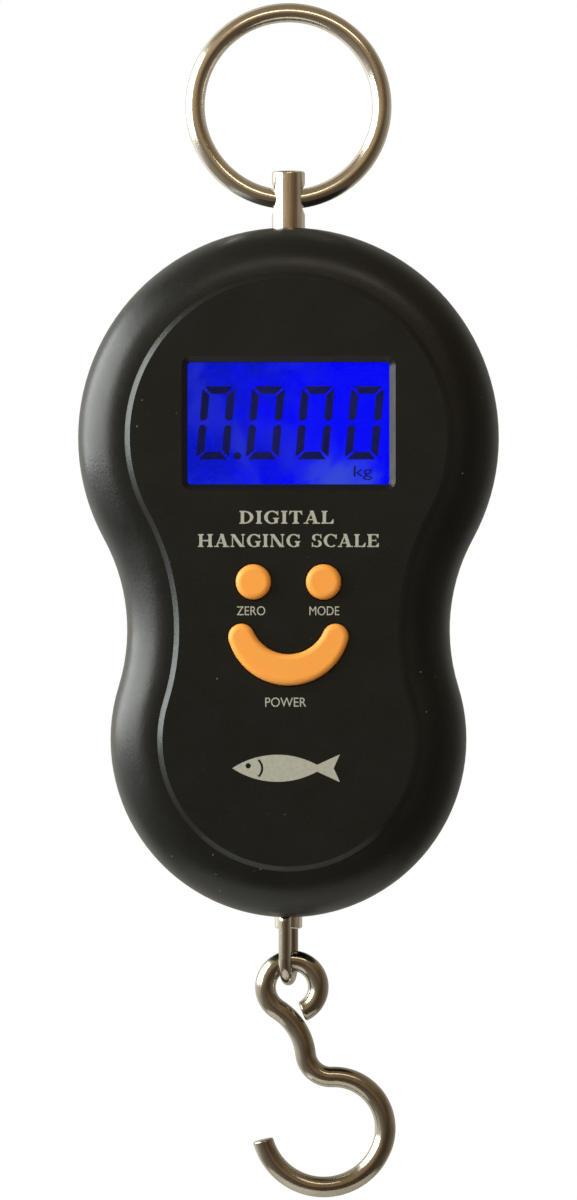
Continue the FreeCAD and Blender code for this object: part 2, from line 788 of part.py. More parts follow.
def make_front_shell():
    body = new_body("front_shell")
    outline = front_sketch(body, "front_outline", "0")
    add_case_outline(outline, "0")
    solid = pad(body, "front_block", outline, "rim_front")
    hollow = front_sketch(body, "front_hollow", "0")
    add_case_outline(hollow, "wall")
    cavity = pocket(body, "front_cavity", hollow, "front_inside", towards_front=True)
    inner = flat_face_edges(cavity, -value("front_inside"))
    hollowed = fillet(body, "front_inside_corner", cavity, inner, "front_inside_round")
    rim = fillet(body, "rim", hollowed, flat_face_edges(hollowed, -value("rim_front")), "rim_round")
    panel = front_sketch(body, "panel_outline", "-rim_front")
    add_case_outline(panel, "panel_inset")
    raised = pad(body, "panel", panel, "panel_front - rim_front")
    step = chamfer(body, "panel_step", raised, flat_face_edges(raised, -value("panel_front")), "panel_bevel")
    chamfer(body, "front_parting", step, outer_parting_edges(step), "parting_bevel")

    bosses = front_sketch(body, "front_bosses", "-(front_inside + sink)")
    for _, x, z in SCREW_PLACES:
        add_circle(bosses, x, z, "boss_radius")
    for height in COLLAR_RIBS:
        add_rectangle(bosses, "0", height, "rib_width", "rib_thick")
    pad(body, "front_boss_pads", bosses, "front_inside + sink", towards_back=True)
    board_bosses = front_sketch(body, "board_bosses", "-(front_inside + sink)")
    for _, x, z in BOARD_SCREW_PLACES:
        add_circle(board_bosses, x, z, "board_boss_radius")
    pad(body, "board_boss_pads", board_bosses, "front_inside + sink - board_front", towards_back=True)

    pilots = front_sketch(body, "screw_pilots", "0")
    for _, x, z in SCREW_PLACES:
        add_circle(pilots, x, z, "screw_shank_radius + drill_gap")
    pocket(body, "screw_pilot_holes", pilots, "screw_pilot", towards_front=True)
    board_pilots = front_sketch(body, "board_pilots", "-board_front")
    for _, x, z in BOARD_SCREW_PLACES:
        add_circle(board_pilots, x, z, "board_screw_shank_radius + drill_gap")
    pocket(body, "board_pilot_holes", board_pilots, "board_screw_pilot", towards_front=True)

    window = front_sketch(body, "window_hole", "-(panel_front + cut_lead)")
    add_rectangle(window, "0", "-window_drop", "window_width", "window_height")
    opening = pocket(body, "window", window, "panel_cut")
    half_width = value("window_width / 2")
    half_height = value("window_height / 2")
    middle_z = -value("window_drop")

    def on_border(x, z):
        return abs(x) < half_width + 1e-3 and abs(z - middle_z) < half_height + 1e-3

    def at_corner(x, z, box):
        return on_border(x, z) and abs(x) > half_width - 1e-3

    corners = edges_along_y(opening, at_corner)
    rounded = fillet(body, "window_corners", opening, corners, "window_corner")
    edges = []
    for name in flat_face_edges(rounded, -value("panel_front")):
        box = rounded.Shape.Edges[int(name[4:]) - 1].BoundBox
        if on_border(box.XMin, box.ZMin) and on_border(box.XMax, box.ZMax):
            edges.append(name)
    chamfer(body, "window_bevel_cut", rounded, edges, "window_bevel")

    holes = front_sketch(body, "button_holes", "-(panel_front + cut_lead)")
    for x in ("-round_button_x", "round_button_x"):
        add_circle(holes, x, "-round_button_drop", "round_button_radius + button_gap")
    pocket(body, "round_button_holes", holes, "panel_cut")
    smile = front_sketch(body, "smile_hole", "-(panel_front + cut_lead)")
    add_smile_outline(smile, "button_gap")
    pocket(body, "smile_button_hole", smile, "panel_cut")
    cut_post_ways(body, "-opening_depth / 2")
    subpart(body, "front_shell")


def make_rear_shell():
    body = new_body("rear_shell")
    outline = front_sketch(body, "rear_outline", "0")
    add_case_outline(outline, "0")
    pad(body, "rear_block", outline, "case_back", towards_back=True)
    hollow = front_sketch(body, "rear_hollow", "0")
    add_case_outline(hollow, "wall")
    cavity = pocket(body, "rear_cavity", hollow, "back_inside")
    inner = flat_face_edges(cavity, value("back_inside"))
    hollowed = fillet(body, "rear_inside_corner", cavity, inner, "back_inside_round")
    back = fillet(body, "back_edge", hollowed, flat_face_edges(hollowed, value("case_back")), "back_round")
    chamfer(body, "rear_parting", back, outer_parting_edges(back), "parting_bevel")

    bosses = front_sketch(body, "rear_bosses", "back_inside + sink")
    for _, x, z in SCREW_PLACES:
        add_circle(bosses, x, z, "boss_radius + rear_boss_extra")
    for height in COLLAR_RIBS:
        add_rectangle(bosses, "0", height, "rib_width", "rib_thick")
    pad(body, "rear_boss_pads", bosses, "back_inside + sink")

    tub_width = "2 * (tub_half_width + tub_wall)"
    tub_middle = "-(tub_top_drop + tub_height / 2)"
    floor_y = "battery_y - battery_radius - tub_slack - tub_floor"
    tubs = front_sketch(body, "battery_tubs", floor_y)
    wells = front_sketch(body, "battery_wells", "case_back + cut_lead")
    for x in ("-battery_x", "battery_x"):
        add_rectangle(tubs, x, tub_middle, tub_width, "tub_height + 2 * tub_end_wall")
        add_rectangle(wells, x, tub_middle, "2 * tub_half_width", "tub_height")
    pad(body, "battery_tub_blocks", tubs, f"back_inside + sink - ({floor_y})", towards_back=True)
    well_depth = f"case_back + cut_lead - ({floor_y}) - tub_floor"
    pocket(body, "battery_well_cuts", wells, well_depth, towards_front=True)

    recess = front_sketch(body, "door_recess", "case_back + cut_lead")
    door_middle = "-(door_top_drop + door_height / 2)"
    add_rectangle(recess, "0", door_middle, "door_width + 2 * door_gap", "door_height + 2 * door_gap")
    recess_depth = "cut_lead + door_thick + door_seat_gap"
    seat = pocket(body, "door_recess_cut", recess, recess_depth, towards_front=True)
    reach = value("door_width / 2 + door_gap")
    seat_y = value("case_back - door_thick")
    corners = edges_along_y(seat, lambda x, z, box: abs(abs(x) - reach) < 1e-3 and box.YMax > seat_y)
    fillet(body, "door_recess_corners", seat, corners, "door_corner")

    notches = front_sketch(body, "door_tab_notches", "case_back - tab_notch_start")
    for x in ("-battery_x", "battery_x"):
        add_rectangle(notches, x, "-(door_top_drop + tab_notch_rise)", "door_tab_width + tab_notch_slack",
                      "tab_notch_height")
    pocket(body, "door_tab_notch_cuts", notches, "tab_notch_depth", towards_front=True)
    tongue = front_sketch(body, "door_tongue_notch", "case_back")
    add_rectangle(tongue, "0", "-(door_top_drop + door_height - tongue_notch_rise)",
                  "door_tongue_width + tongue_notch_slack", "tongue_notch_height")
    pocket(body, "door_tongue_notch_cut", tongue, "tongue_notch_depth", towards_front=True)
    strap = level_sketch(body, "bridge_slots", "bridge_slot_rise - tub_top_drop - tub_height")
    for x in ("-battery_x", "battery_x"):
        add_rectangle(strap, f"{x} / 2", "bridge_front + bridge_depth / 2", "bridge_slot_width",
                      "bridge_slot_depth")
    pocket(body, "bridge_slot_cuts", strap, "bridge_slot_height")

    shanks = front_sketch(body, "rear_screw_holes", "case_back + cut_lead")
    heads = front_sketch(body, "rear_screw_seats", "case_back + cut_lead")
    for _, x, z in SCREW_PLACES:
        add_circle(shanks, x, z, "screw_shank_radius + screw_hole_gap")
        add_circle(heads, x, z, "screw_head_radius + screw_head_gap")
    pocket(body, "rear_screw_hole_cuts", shanks, "case_back + cut_lead", towards_front=True)
    pocket(body, "rear_screw_seat_cuts", heads, "case_back + cut_lead - screw_seat", towards_front=True)
    cut_post_ways(body, "opening_depth / 2")
    subpart(body, "rear_shell")


def make_battery_door():
    """Flush lid: two tabs at its top edge, a snap tongue and a ribbed thumb grip at its bottom edge."""
    body = new_body("battery_door")
    inner_y = "case_back - door_thick"
    middle = "-(door_top_drop + door_height / 2)"
    plate = front_sketch(body, "door_plate", inner_y)
    add_rectangle(plate, "0", middle, "door_width", "door_height")
    slab = pad(body, "door_slab", plate, "door_thick", towards_back=True)
    rounded = fillet(body, "door_corners", slab, edges_along_y(slab, lambda x, z, box: True), "door_corner")
    chamfer(body, "door_outer_edge", rounded, flat_face_edges(rounded, value("case_back")), "door_edge_bevel")
    tabs = front_sketch(body, "door_tabs", "case_back - door_tab_back - door_tab_thick")
    for x in ("-battery_x", "battery_x"):
        add_rectangle(tabs, x, "-door_top_drop", "door_tab_width", "2 * door_tab_reach")
    pad(body, "door_tab_pads", tabs, "door_tab_thick", towards_back=True)
    tongue = front_sketch(body, "door_tongue", "case_back - door_tongue_reach")
    add_rectangle(tongue, "0", "-(door_top_drop + door_height - door_tongue_thick)", "door_tongue_width",
                  "door_tongue_thick")
    pad(body, "door_tongue_pad", tongue, "door_tongue_reach - door_thick / 2", towards_back=True)
    grip = front_sketch(body, "door_grip", "case_back")
    for rib in range(4):
        height = f"-(door_top_drop + door_height - grip_rise - {rib} * grip_pitch)"
        add_rectangle(grip, "0", height, "grip_width", "grip_groove")
    pocket(body, "door_grip_grooves", grip, "grip_depth", towards_front=True)
    subpart(body, "battery_door")


# ---------------------------------------------------------------- display

def layer(name, front_y, width, height, drop, thick):
    """A thin plate behind the window; front_y is its front face."""
    return block(name, "0", front_y, f"-({drop}) - ({height}) / 2", width, thick, height)


PANE_Y = "(-front_inside)"
GLASS_Y = "(layer_gap - front_inside + pane_thick)"
LIGHT_Y = "(2 * layer_gap - front_inside + pane_thick + glass_thick)"


def make_display():
    pane = layer("display_window", PANE_Y, "pane_width", "pane_height", "window_drop", "pane_thick")
    subpart(pane, "display_window")
    glass = layer("lcd_panel", GLASS_Y, "glass_width", "glass_height", "window_drop", "glass_thick")
    subpart(glass, "lcd_panel")
    raise_light = "window_drop - (glass_height - light_height) / 2"
    light = layer("lcd_backlight", LIGHT_Y, "glass_width", "light_height", raise_light, "light_thick")
    subpart(light, "lcd_backlight")
    strip_low = "-(window_drop + glass_height / 2)"
    strip = block("lcd_connector", "0", LIGHT_Y, strip_low, "glass_width - 2 * strip_inset", "light_thick",
                  "glass_height - light_height - strip_gap")
    subpart(strip, "lcd_connector")
    hole_width = "(glass_width + frame_slack)"
    hole_height = "(glass_height + frame_slack)"
    frame_depth = f"(-board_front - {GLASS_Y} - layer_gap)"
    outer = layer("frame_outer", GLASS_Y, f"{hole_width} + 2 * frame_wall", f"{hole_height} + 2 * frame_wall",
                  "window_drop", frame_depth)
    inner = layer("frame_inner", f"{GLASS_Y} - cut_lead", hole_width, hole_height, "window_drop",
                  f"{frame_depth} + 2 * cut_lead")
    subpart(cut("lcd_frame", outer, [inner]), "lcd_frame")


# ---------------------------------------------------------------- circuit board

SWITCH_PLACES = [
    ("tare", "-round_button_x", "-round_button_drop"),
    ("unit", "round_button_x", "-round_button_drop"),
    ("power", "0", "-power_switch_drop"),
]


def make_circuit_board():
    body = new_body("circuit_board")
    plate = front_sketch(body, "board_plate", "-board_front")
    add_rectangle(plate, "0", "-(board_top_drop + board_height / 2)", "board_width", "board_height")
    slab = pad(body, "board_slab", plate, "board_thick", towards_back=True)
    fillet(body, "board_corners", slab, edges_along_y(slab, lambda x, z, box: True), "board_corner")
    holes = front_sketch(body, "board_holes", "-board_front")
    for _, x, z in BOARD_SCREW_PLACES:
        add_circle(holes, x, z, "board_screw_shank_radius + board_hole_gap")
    pocket(body, "board_hole_cuts", holes, "board_thick")
    subpart(body, "circuit_board")


RESISTOR_PLACES = [(-9, -73), (-6.4, -73), (-3.8, -73), (-12, -76.4), (14, -86), (14, -88.6), (-14, -86)]
CAPACITOR_PLACES = [(-9, -89), (9.4, -90)]


def make_board_parts():
    """Controller under its drop of resin, and small surface-mount parts, on the board's front face."""
    drop = doc.addObject("Part::Sphere", "resin_ball")
    bind(drop, Radius="resin_radius")
    place(drop, "resin_x", "resin_sunk - board_front", "-resin_drop")
    keep = block("resin_keep", "resin_x", "-board_front - resin_rise", "-resin_drop - resin_height / 2",
                 "resin_width", "resin_rise", "resin_height")
    blob = doc.addObject("Part::Common", "controller_chip")
    blob.Base = drop
    blob.Tool = keep
    subpart(blob, "controller_chip")
    chips = []
    low_y = "-board_front - resistor_thick"
    for index, (x, z) in enumerate(RESISTOR_PLACES):
        chips.append(block(f"resistor_{index}", str(x), low_y, str(z),
                           "resistor_width", "resistor_thick", "resistor_height"))
    low_y = "-board_front - capacitor_thick"
    for index, (x, z) in enumerate(CAPACITOR_PLACES):
        chips.append(rod_along_y(f"capacitor_{index}", str(x), low_y, str(z),
                                 "capacitor_radius", "capacitor_thick"))
    subpart(group("board_components", chips), "board_components")


def make_switches():
    for name, x, z in SWITCH_PLACES:
        low_z = f"{z} - switch_width / 2"
        base = block(f"{name}_switch_base", x, "-board_front - switch_thick", low_z,
                     "switch_width", "switch_thick", "switch_width")
        bore = rod_along_y(f"{name}_switch_bore", x, "-board_front - switch_thick - cut_lead", z,
                           "plunger_radius + plunger_bore_gap", "cut_lead + plunger_bore_depth")
        subpart(cut(f"{name}_switch", base, [bore]), f"{name}_switch")
        plunger = rod_along_y(f"{name}_plunger", x, "-plunger_front", z, "plunger_radius", "plunger_length")
        subpart(plunger, f"{name}_plunger")


STEM_LENGTH = "flange_front - button_flange_thick - plunger_front"


def make_round_button(name, x):
    """Round cap through the panel, a flange behind it and a stem onto the switch plunger."""
    body = new_body(f"{name}_button")
    drop = "-round_button_drop"
    cap = front_sketch(body, f"{name}_cap", "-flange_front")
    add_circle(cap, x, drop, "round_button_radius")
    barrel = pad(body, f"{name}_barrel", cap, "button_front - flange_front")
    fillet(body, f"{name}_edge", barrel, flat_face_edges(barrel, -value("button_front")), "button_edge")
    flange = front_sketch(body, f"{name}_flange", "-flange_front")
    add_circle(flange, x, drop, "round_button_radius + button_flange")
    pad(body, f"{name}_flange_pad", flange, "button_flange_thick", towards_back=True)
    stem = front_sketch(body, f"{name}_stem", "button_flange_thick - flange_front")
    add_circle(stem, x, drop, "stem_radius")
    pad(body, f"{name}_stem_pad", stem, STEM_LENGTH, towards_back=True)
    subpart(body, f"{name}_button")


def make_power_button():
    """Curved bar cap, a flange behind it and a stem onto the switch plunger."""
    body = new_body("power_button")
    cap = front_sketch(body, "power_cap", "-flange_front")
    add_smile_outline(cap, "0")
    barrel = pad(body, "power_barrel", cap, "button_front - flange_front")
    fillet(body, "power_edge", barrel, flat_face_edges(barrel, -value("button_front")), "button_edge")
    flange = front_sketch(body, "power_flange", "-flange_front")
    add_smile_outline(flange, "button_flange")
    pad(body, "power_flange_pad", flange, "button_flange_thick", towards_back=True)
    stem = front_sketch(body, "power_stem", "button_flange_thick - flange_front")
    add_circle(stem, "0", "-power_switch_drop", "stem_radius")
    pad(body, "power_stem_pad", stem, STEM_LENGTH, towards_back=True)
    subpart(body, "power_button")


# ---------------------------------------------------------------- load cell

CELL_LOW = "(-(cell_top_drop + cell_height))"
CELL_MIDDLE = "(-(cell_top_drop + cell_height / 2))"


def make_load_cell():
    """Aluminium bar with a binocular hole; a post is pinned into each end."""
    bar = block("cell_bar", "0", "-cell_thick / 2", CELL_LOW, "cell_width", "cell_thick", "cell_height")
    tools = []
    for name, side in (("upper", "+"), ("lower", "-")):
        z = f"{CELL_MIDDLE} {side} cell_hole_spacing / 2"
        tools.append(rod_along_x(f"cell_{name}_hole", "-cell_width", "0", z, "cell_hole_radius",
                                 "2 * cell_width"))
    tools.append(block("cell_slot_cut", "0", "-cell_slot / 2", f"{CELL_MIDDLE} - cell_hole_spacing / 2",
                       "2 * cell_width", "cell_slot", "cell_hole_spacing"))
    bore = "post_spigot_radius + drill_gap"
    depth = "(post_spigot_reach + cell_bore_slack)"
    length = f"{depth} + cell_bore_lead"
    tools.append(rod_along_z("cell_top_bore", "0", "0", f"-(cell_top_drop + {depth})", bore, length))
    tools.append(rod_along_z("cell_low_bore", "0", "0", f"{CELL_LOW} - cell_bore_lead", bore, length))
    for name, z in (("top", "-(cell_top_drop + pin_depth)"), ("low", f"{CELL_LOW} + pin_depth")):
        tools.append(rod_along_x(f"cell_{name}_pin_hole", "-cell_width", "0", z, "pin_radius + drill_gap",
                                 "2 * cell_width"))
    subpart(cut("load_cell", bar, tools), "load_cell")


def make_post_pins():
    pins = []
    for name, z in (("top", "-(cell_top_drop + pin_depth)"), ("low", f"{CELL_LOW} + pin_depth")):
        pins.append(rod_along_x(f"pin_{name}", "-cell_width / 2", "0", z, "pin_radius", "cell_width"))
    subpart(group("post_pins", pins), "post_pins")


def make_strain_gauges():
    """A foil gauge over each thin web, each under its own pad of white sealant."""
    gauge_size = ("gauge_width", "gauge_thick", "gauge_height")
    seal_size = ("gauge_width + 2 * seal_border", "seal_thick", "gauge_height + 2 * seal_border")
    gauges = []
    pads = []
    for web, sign in (("upper", "+"), ("lower", "-")):
        z = f"{CELL_MIDDLE} {sign} cell_hole_spacing / 2 - gauge_height / 2"
        for face in ("front", "back"):
            name = f"{web}_{face}"
            gauge_y = "-cell_thick / 2 - gauge_thick" if face == "front" else "cell_thick / 2"
            seal_y = "-cell_thick / 2 - seal_thick" if face == "front" else "cell_thick / 2"
            gauges.append(block(f"gauge_{name}", "0", gauge_y, z, *gauge_size))
            lump = block(f"seal_lump_{name}", "0", seal_y, f"{z} - seal_border", *seal_size)
            core = block(f"seal_core_{name}", "0", gauge_y, z, *gauge_size)
            pads.append(cut(f"seal_{name}", lump, [core]))
    subpart(group("strain_gauges", gauges), "strain_gauges")
    subpart(group("gauge_sealant", pads), "gauge_sealant")


# Bends of the thin wires, in millimetres and degrees.
WIRE_BEND = 2.0
WIRE_LEAN = 8
LEAD_BEND = 1.2
LEAD_TURN = -40
LEAD_END = 0.4


def make_gauge_wires():
    """Four thin leads up the bar's front face from the upper gauge to the back of the board."""
    radius = value("gauge_wire_radius")
    face_y = -value("cell_thick / 2")
    spacing = value("gauge_wire_spacing")
    low_z = value(f"{CELL_MIDDLE} + cell_hole_spacing / 2 + gauge_height / 2 + seal_border + drill_gap")
    wires = []
    for index in range(4):
        x = (index - 3 / 2) * spacing
        start = Vector(x, face_y - radius - value("layer_gap"), low_z)
        rise = value("gauge_wire_rise") + index * spacing
        steps = [("run", rise), ("bend", WIRE_BEND, -WIRE_LEAN), ("bend", WIRE_BEND, WIRE_LEAN),
                 ("run", spacing)]
        wires.append(bent_rod(start, AXIS_Z, AXIS_X, radius, steps))
    subpart(feature_from("load_cell_wires", Part.makeCompound(wires)), "load_cell_wires")


# ---------------------------------------------------------------- batteries

def make_battery(name, x, cap_up):
    low = "-(battery_top_drop + battery_nub_length + battery_length)"
    if cap_up:
        can_low = low
        nub_low = "-(battery_top_drop + battery_nub_length + sink)"
    else:
        can_low = f"{low} + battery_nub_length"
        nub_low = low
    can = rod_along_z(f"{name}_can", x, "battery_y", can_low, "battery_radius", "battery_length")
    nub = rod_along_z(f"{name}_nub", x, "battery_y", nub_low, "battery_nub_radius",
                      "battery_nub_length + sink")
    subpart(fuse(name, [can, nub]), name)


TUB_LOW = "(-(tub_top_drop + tub_height))"
BRIDGE_TOP = f"({TUB_LOW} + bridge_rise + contact_thick)"
TOP_CONTACT_LOW = "(-(tub_top_drop + contact_gap + contact_thick))"
CELLS_LOW = "(-(battery_top_drop + battery_nub_length + battery_length))"


def make_battery_contacts():
    """Two top contacts and the bridge that joins the cells at the bottom; a boss meets each cell's cap."""
    depth_low = "battery_y - contact_depth / 2"
    plate = block("positive_plate", "-battery_x", depth_low, TOP_CONTACT_LOW,
                  "contact_width", "contact_depth", "contact_thick")
    boss_low = "-battery_top_drop + contact_gap"
    boss = rod_along_z("positive_boss", "-battery_x", "battery_y", boss_low, "contact_nub_radius",
                       f"{TOP_CONTACT_LOW} - ({boss_low}) + contact_thick / 2")
    subpart(fuse("positive_contact", [plate, boss]), "positive_contact")
    negative = block("negative_contact", "battery_x", depth_low, TOP_CONTACT_LOW,
                     "contact_width", "contact_depth", "contact_thick")
    subpart(negative, "negative_contact")
    strap = block("bridge_strap", "0", "bridge_front", f"{BRIDGE_TOP} - contact_thick",
                  "2 * battery_x + contact_width", "bridge_depth", "contact_thick")
    bridge_boss = rod_along_z("bridge_boss", "battery_x", "bridge_front + bridge_depth / 2",
                              f"{BRIDGE_TOP} - contact_thick / 2", "bridge_boss_radius",
                              f"{CELLS_LOW} - {BRIDGE_TOP} + contact_thick / 2 - contact_gap")
    subpart(fuse("bridge_contact", [strap, bridge_boss]), "bridge_contact")


def make_battery_springs():
    """A bowed wire spring against the flat end of each cell."""
    gap = value("contact_gap")
    upper_low = -value("battery_top_drop") + gap
    upper_high = value(TOP_CONTACT_LOW) - gap
    lower_low = value(BRIDGE_TOP) + gap
    lower_high = value(CELLS_LOW) - gap
    springs = [
        bow_spring(value("battery_x"), upper_low, upper_high),
        bow_spring(-value("battery_x"), lower_low, lower_high),
    ]
    subpart(feature_from("battery_springs", Part.makeCompound(springs)), "battery_springs")


def bow_spring(x, low_z, high_z):
    """Round wire that rises from one height to the other and comes back, in three tangent bends."""
    wire_radius = value("spring_wire_radius")
    slope = value("spring_slope")
    rise = high_z - low_z - 2 * wire_radius
    radius = rise / (2 - 2 * math.cos(math.radians(slope)))
    half_span = 2 * radius * math.sin(math.radians(slope))
    start = Vector(x - half_span, value("battery_y"), low_z + wire_radius)
    steps = [("bend", radius, slope), ("bend", radius, -2 * slope), ("bend", radius, slope)]
    return bent_rod(start, AXIS_X, -AXIS_Y, wire_radius, steps)


def make_battery_leads():
    """Red and black leads from the top contacts forward to the board, beside the tubs' top walls."""
    radius = value("wire_radius")
    for name, side in (("battery_lead_red", -1), ("battery_lead_black", 1)):
        x = side * value("battery_x")
        board_back = -value("board_front - board_thick")
        start = Vector(x, board_back + value("layer_gap"), value("lead_rise - tub_top_drop"))
        depth = value("lead_back") - board_back
        steps = [("run", depth), ("bend", LEAD_BEND, LEAD_TURN), ("run", LEAD_END)]
        lead = bent_rod(start, AXIS_Y, AXIS_X, radius, steps)
        subpart(feature_from(name, lead), name)


# ---------------------------------------------------------------- fasteners

def make_case_screws():
    """Self-tapping screws with cross-slotted heads, driven from the back."""
    slot_y = "screw_seat + screw_head_height - screw_slot_depth"
    screws = []
    for name, x, z in SCREW_PLACES:
        head = rod_along_y(f"case_screw_head_{name}", x, "screw_seat", z, "screw_head_radius",
                           "screw_head_height")
        slot_across = block(f"case_screw_slot_a_{name}", x, slot_y, f"{z} - screw_slot_width / 2",
                            "screw_slot_length", "screw_head_height", "screw_slot_width")
        slot_up = block(f"case_screw_slot_b_{name}", x, slot_y, f"{z} - screw_slot_length / 2",
                        "screw_slot_width", "screw_head_height", "screw_slot_length")
        shank = rod_along_y(f"case_screw_shank_{name}", x, "screw_seat - screw_length", z,
                            "screw_shank_radius", "screw_length + sink")
        whole = fuse(f"case_screw_blank_{name}", [head, shank])
        screws.append(cut(f"case_screw_{name}", whole, [slot_across, slot_up]))
    subpart(group("case_screws", screws), "case_screws")


def make_board_screws():
    screws = []
    back = "(board_thick - board_front)"
    for name, x, z in BOARD_SCREW_PLACES:
        head = rod_along_y(f"board_screw_head_{name}", x, back, z, "board_screw_head_radius",
                           "board_screw_head_height")
        shank = rod_along_y(f"board_screw_shank_{name}", x, f"{back} - board_screw_length", z,
                            "board_screw_shank_radius", "board_screw_length + sink")
        screws.append(fuse(f"board_screw_{name}", [head, shank]))
    subpart(group("board_screws", screws), "board_screws")


# ---------------------------------------------------------------- build and write

def check_document():
    """Stop on any failed object, and on any piece without a sound shape."""
    for item in doc.Objects:
        if "Invalid" in item.State or "Error" in item.State:
            raise RuntimeError(f"{item.Name} failed: {item.State}")
    for item in subparts:
        if item.Shape.isNull() or not item.Shape.isValid():
            raise RuntimeError(f"{item.Label} has no sound shape")
        if not item.Shape.Solids:
            raise RuntimeError(f"{item.Label} holds no solid")


def write_parts():
    os.makedirs("parts", exist_ok=True)
    for item in subparts:
        item.Shape.exportStep(f"parts/{item.Label}.step")
        print(f"{item.Label}: {len(item.Shape.Solids)} solid(s), {item.Shape.Volume:.1f} mm3")


make_hanging_ring()
make_ring_post()
make_front_shell()
make_rear_shell()
make_battery_door()
make_display()
make_circuit_board()
make_board_parts()
make_switches()
make_round_button("tare", "-round_button_x")
make_round_button("unit", "round_button_x")
make_power_button()
make_load_cell()
make_post_pins()
make_strain_gauges()
make_gauge_wires()
make_link_post()
make_hook_link()
make_hook()
make_battery("battery_left", "-battery_x", True)
make_battery("battery_right", "battery_x", False)
make_battery_contacts()
make_battery_springs()
make_battery_leads()
make_case_screws()
make_board_screws()
doc.recompute()
check_document()
write_parts()
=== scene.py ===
import json
import math

import bmesh
import bpy
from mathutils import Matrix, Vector


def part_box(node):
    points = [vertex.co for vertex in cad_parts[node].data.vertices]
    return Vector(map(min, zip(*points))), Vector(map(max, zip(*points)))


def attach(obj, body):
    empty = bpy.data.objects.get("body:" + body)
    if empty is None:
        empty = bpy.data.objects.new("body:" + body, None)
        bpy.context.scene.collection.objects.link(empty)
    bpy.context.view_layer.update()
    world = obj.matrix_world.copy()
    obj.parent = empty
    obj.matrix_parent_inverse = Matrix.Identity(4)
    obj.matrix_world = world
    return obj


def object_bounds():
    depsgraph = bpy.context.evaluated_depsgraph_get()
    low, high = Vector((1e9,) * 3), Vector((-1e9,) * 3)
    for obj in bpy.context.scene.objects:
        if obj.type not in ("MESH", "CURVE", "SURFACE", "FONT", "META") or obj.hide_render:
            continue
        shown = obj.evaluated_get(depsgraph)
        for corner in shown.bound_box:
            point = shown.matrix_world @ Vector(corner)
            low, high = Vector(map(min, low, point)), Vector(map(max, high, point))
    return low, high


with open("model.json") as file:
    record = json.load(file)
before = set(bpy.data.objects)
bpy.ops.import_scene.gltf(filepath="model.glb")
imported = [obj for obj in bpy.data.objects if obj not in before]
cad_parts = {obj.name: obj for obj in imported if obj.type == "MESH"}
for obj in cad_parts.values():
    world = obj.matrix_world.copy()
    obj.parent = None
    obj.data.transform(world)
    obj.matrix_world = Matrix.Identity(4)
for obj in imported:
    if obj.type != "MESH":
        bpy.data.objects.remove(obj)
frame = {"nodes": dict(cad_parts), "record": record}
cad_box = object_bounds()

MM = 0.001
scene = bpy.context.scene
nodes = frame["nodes"]

# Places, all taken from the frame.
FRONT_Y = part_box("front_shell")[0].y
GLASS_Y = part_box("lcd_panel")[0].y


# ---------------------------------------------------------------- node helpers

def node(tree, kind, inputs=None, **settings):
    """Add a shader node; an input given as a socket is linked, any other is set."""
    made = tree.nodes.new(kind)
    for name, setting in settings.items():
        setattr(made, name, setting)
    for name, given in (inputs or {}).items():
        socket = made.inputs[name]          # by name, or by number where two share a name
        if isinstance(given, bpy.types.NodeSocket):
            tree.links.new(given, socket)
        else:
            socket.default_value = given
    return made


def new_material(name):
    """A material with a Principled shader, and its surface coordinates in metres."""
    material = bpy.data.materials.new(name)
    material.use_nodes = True
    tree = material.node_tree
    shader = tree.nodes["Principled BSDF"]
    place = node(tree, "ShaderNodeTexCoord").outputs["Object"]
    return material, tree, shader, place


def noise(tree, place, scale, detail=3.0, roughness=0.5, distortion=0.0):
    made = node(tree, "ShaderNodeTexNoise", {"Vector": place, "Scale": scale, "Detail": detail,
                                             "Roughness": roughness, "Distortion": distortion})
    return made.outputs["Fac"]


def stretched(tree, place, x, y, z):
    return node(tree, "ShaderNodeMapping", {"Vector": place, "Scale": (x, y, z)}).outputs["Vector"]


def remap(tree, source, low, high, to_low, to_high):
    made = node(tree, "ShaderNodeMapRange", {"Value": source, "From Min": low, "From Max": high,
                                             "To Min": to_low, "To Max": to_high})
    return made.outputs["Result"]


def blend_colours(tree, factor, first, second):
    made = node(tree, "ShaderNodeMix", data_type="RGBA")
    sockets = {"Factor_Float": factor, "A_Color": first, "B_Color": second}
    for socket in made.inputs:
        if socket.identifier in sockets:
            given = sockets[socket.identifier]
            if isinstance(given, bpy.types.NodeSocket):
                tree.links.new(given, socket)
            else:
                socket.default_value = given
    return next(out for out in made.outputs if out.identifier == "Result_Color")


def ramp(tree, factor, stops):
    """A colour ramp through (position, colour) stops."""
    made = node(tree, "ShaderNodeValToRGB", {"Fac": factor})
    points = made.color_ramp.elements
    while len(points) < len(stops):
        points.new(0.5)
    for point, (position, colour) in zip(points, stops):
        point.position = position
        point.color = rgba(*colour)
    return made.outputs["Color"]


def smooth(tree, source, start, end):
    """0 at start, 1 at end, eased in between."""
    made = node(tree, "ShaderNodeMapRange", {"Value": source, "From Min": start, "From Max": end},
                interpolation_type="SMOOTHSTEP")
    return made.outputs["Result"]


def arithmetic(tree, operation, first, second):
    made = node(tree, "ShaderNodeMath", operation=operation)
    for socket, given in zip(made.inputs, (first, second)):
        if isinstance(given, bpy.types.NodeSocket):
            tree.links.new(given, socket)
        else:
            socket.default_value = given
    return made.outputs["Value"]


def bump(tree, shader, height, strength, distance):
    made = node(tree, "ShaderNodeBump", {"Height": height, "Strength": strength, "Distance": distance})
    tree.links.new(made.outputs["Normal"], shader.inputs["Normal"])


def rgba(red, green, blue):
    return (red, green, blue, 1.0)


# ---------------------------------------------------------------- materials

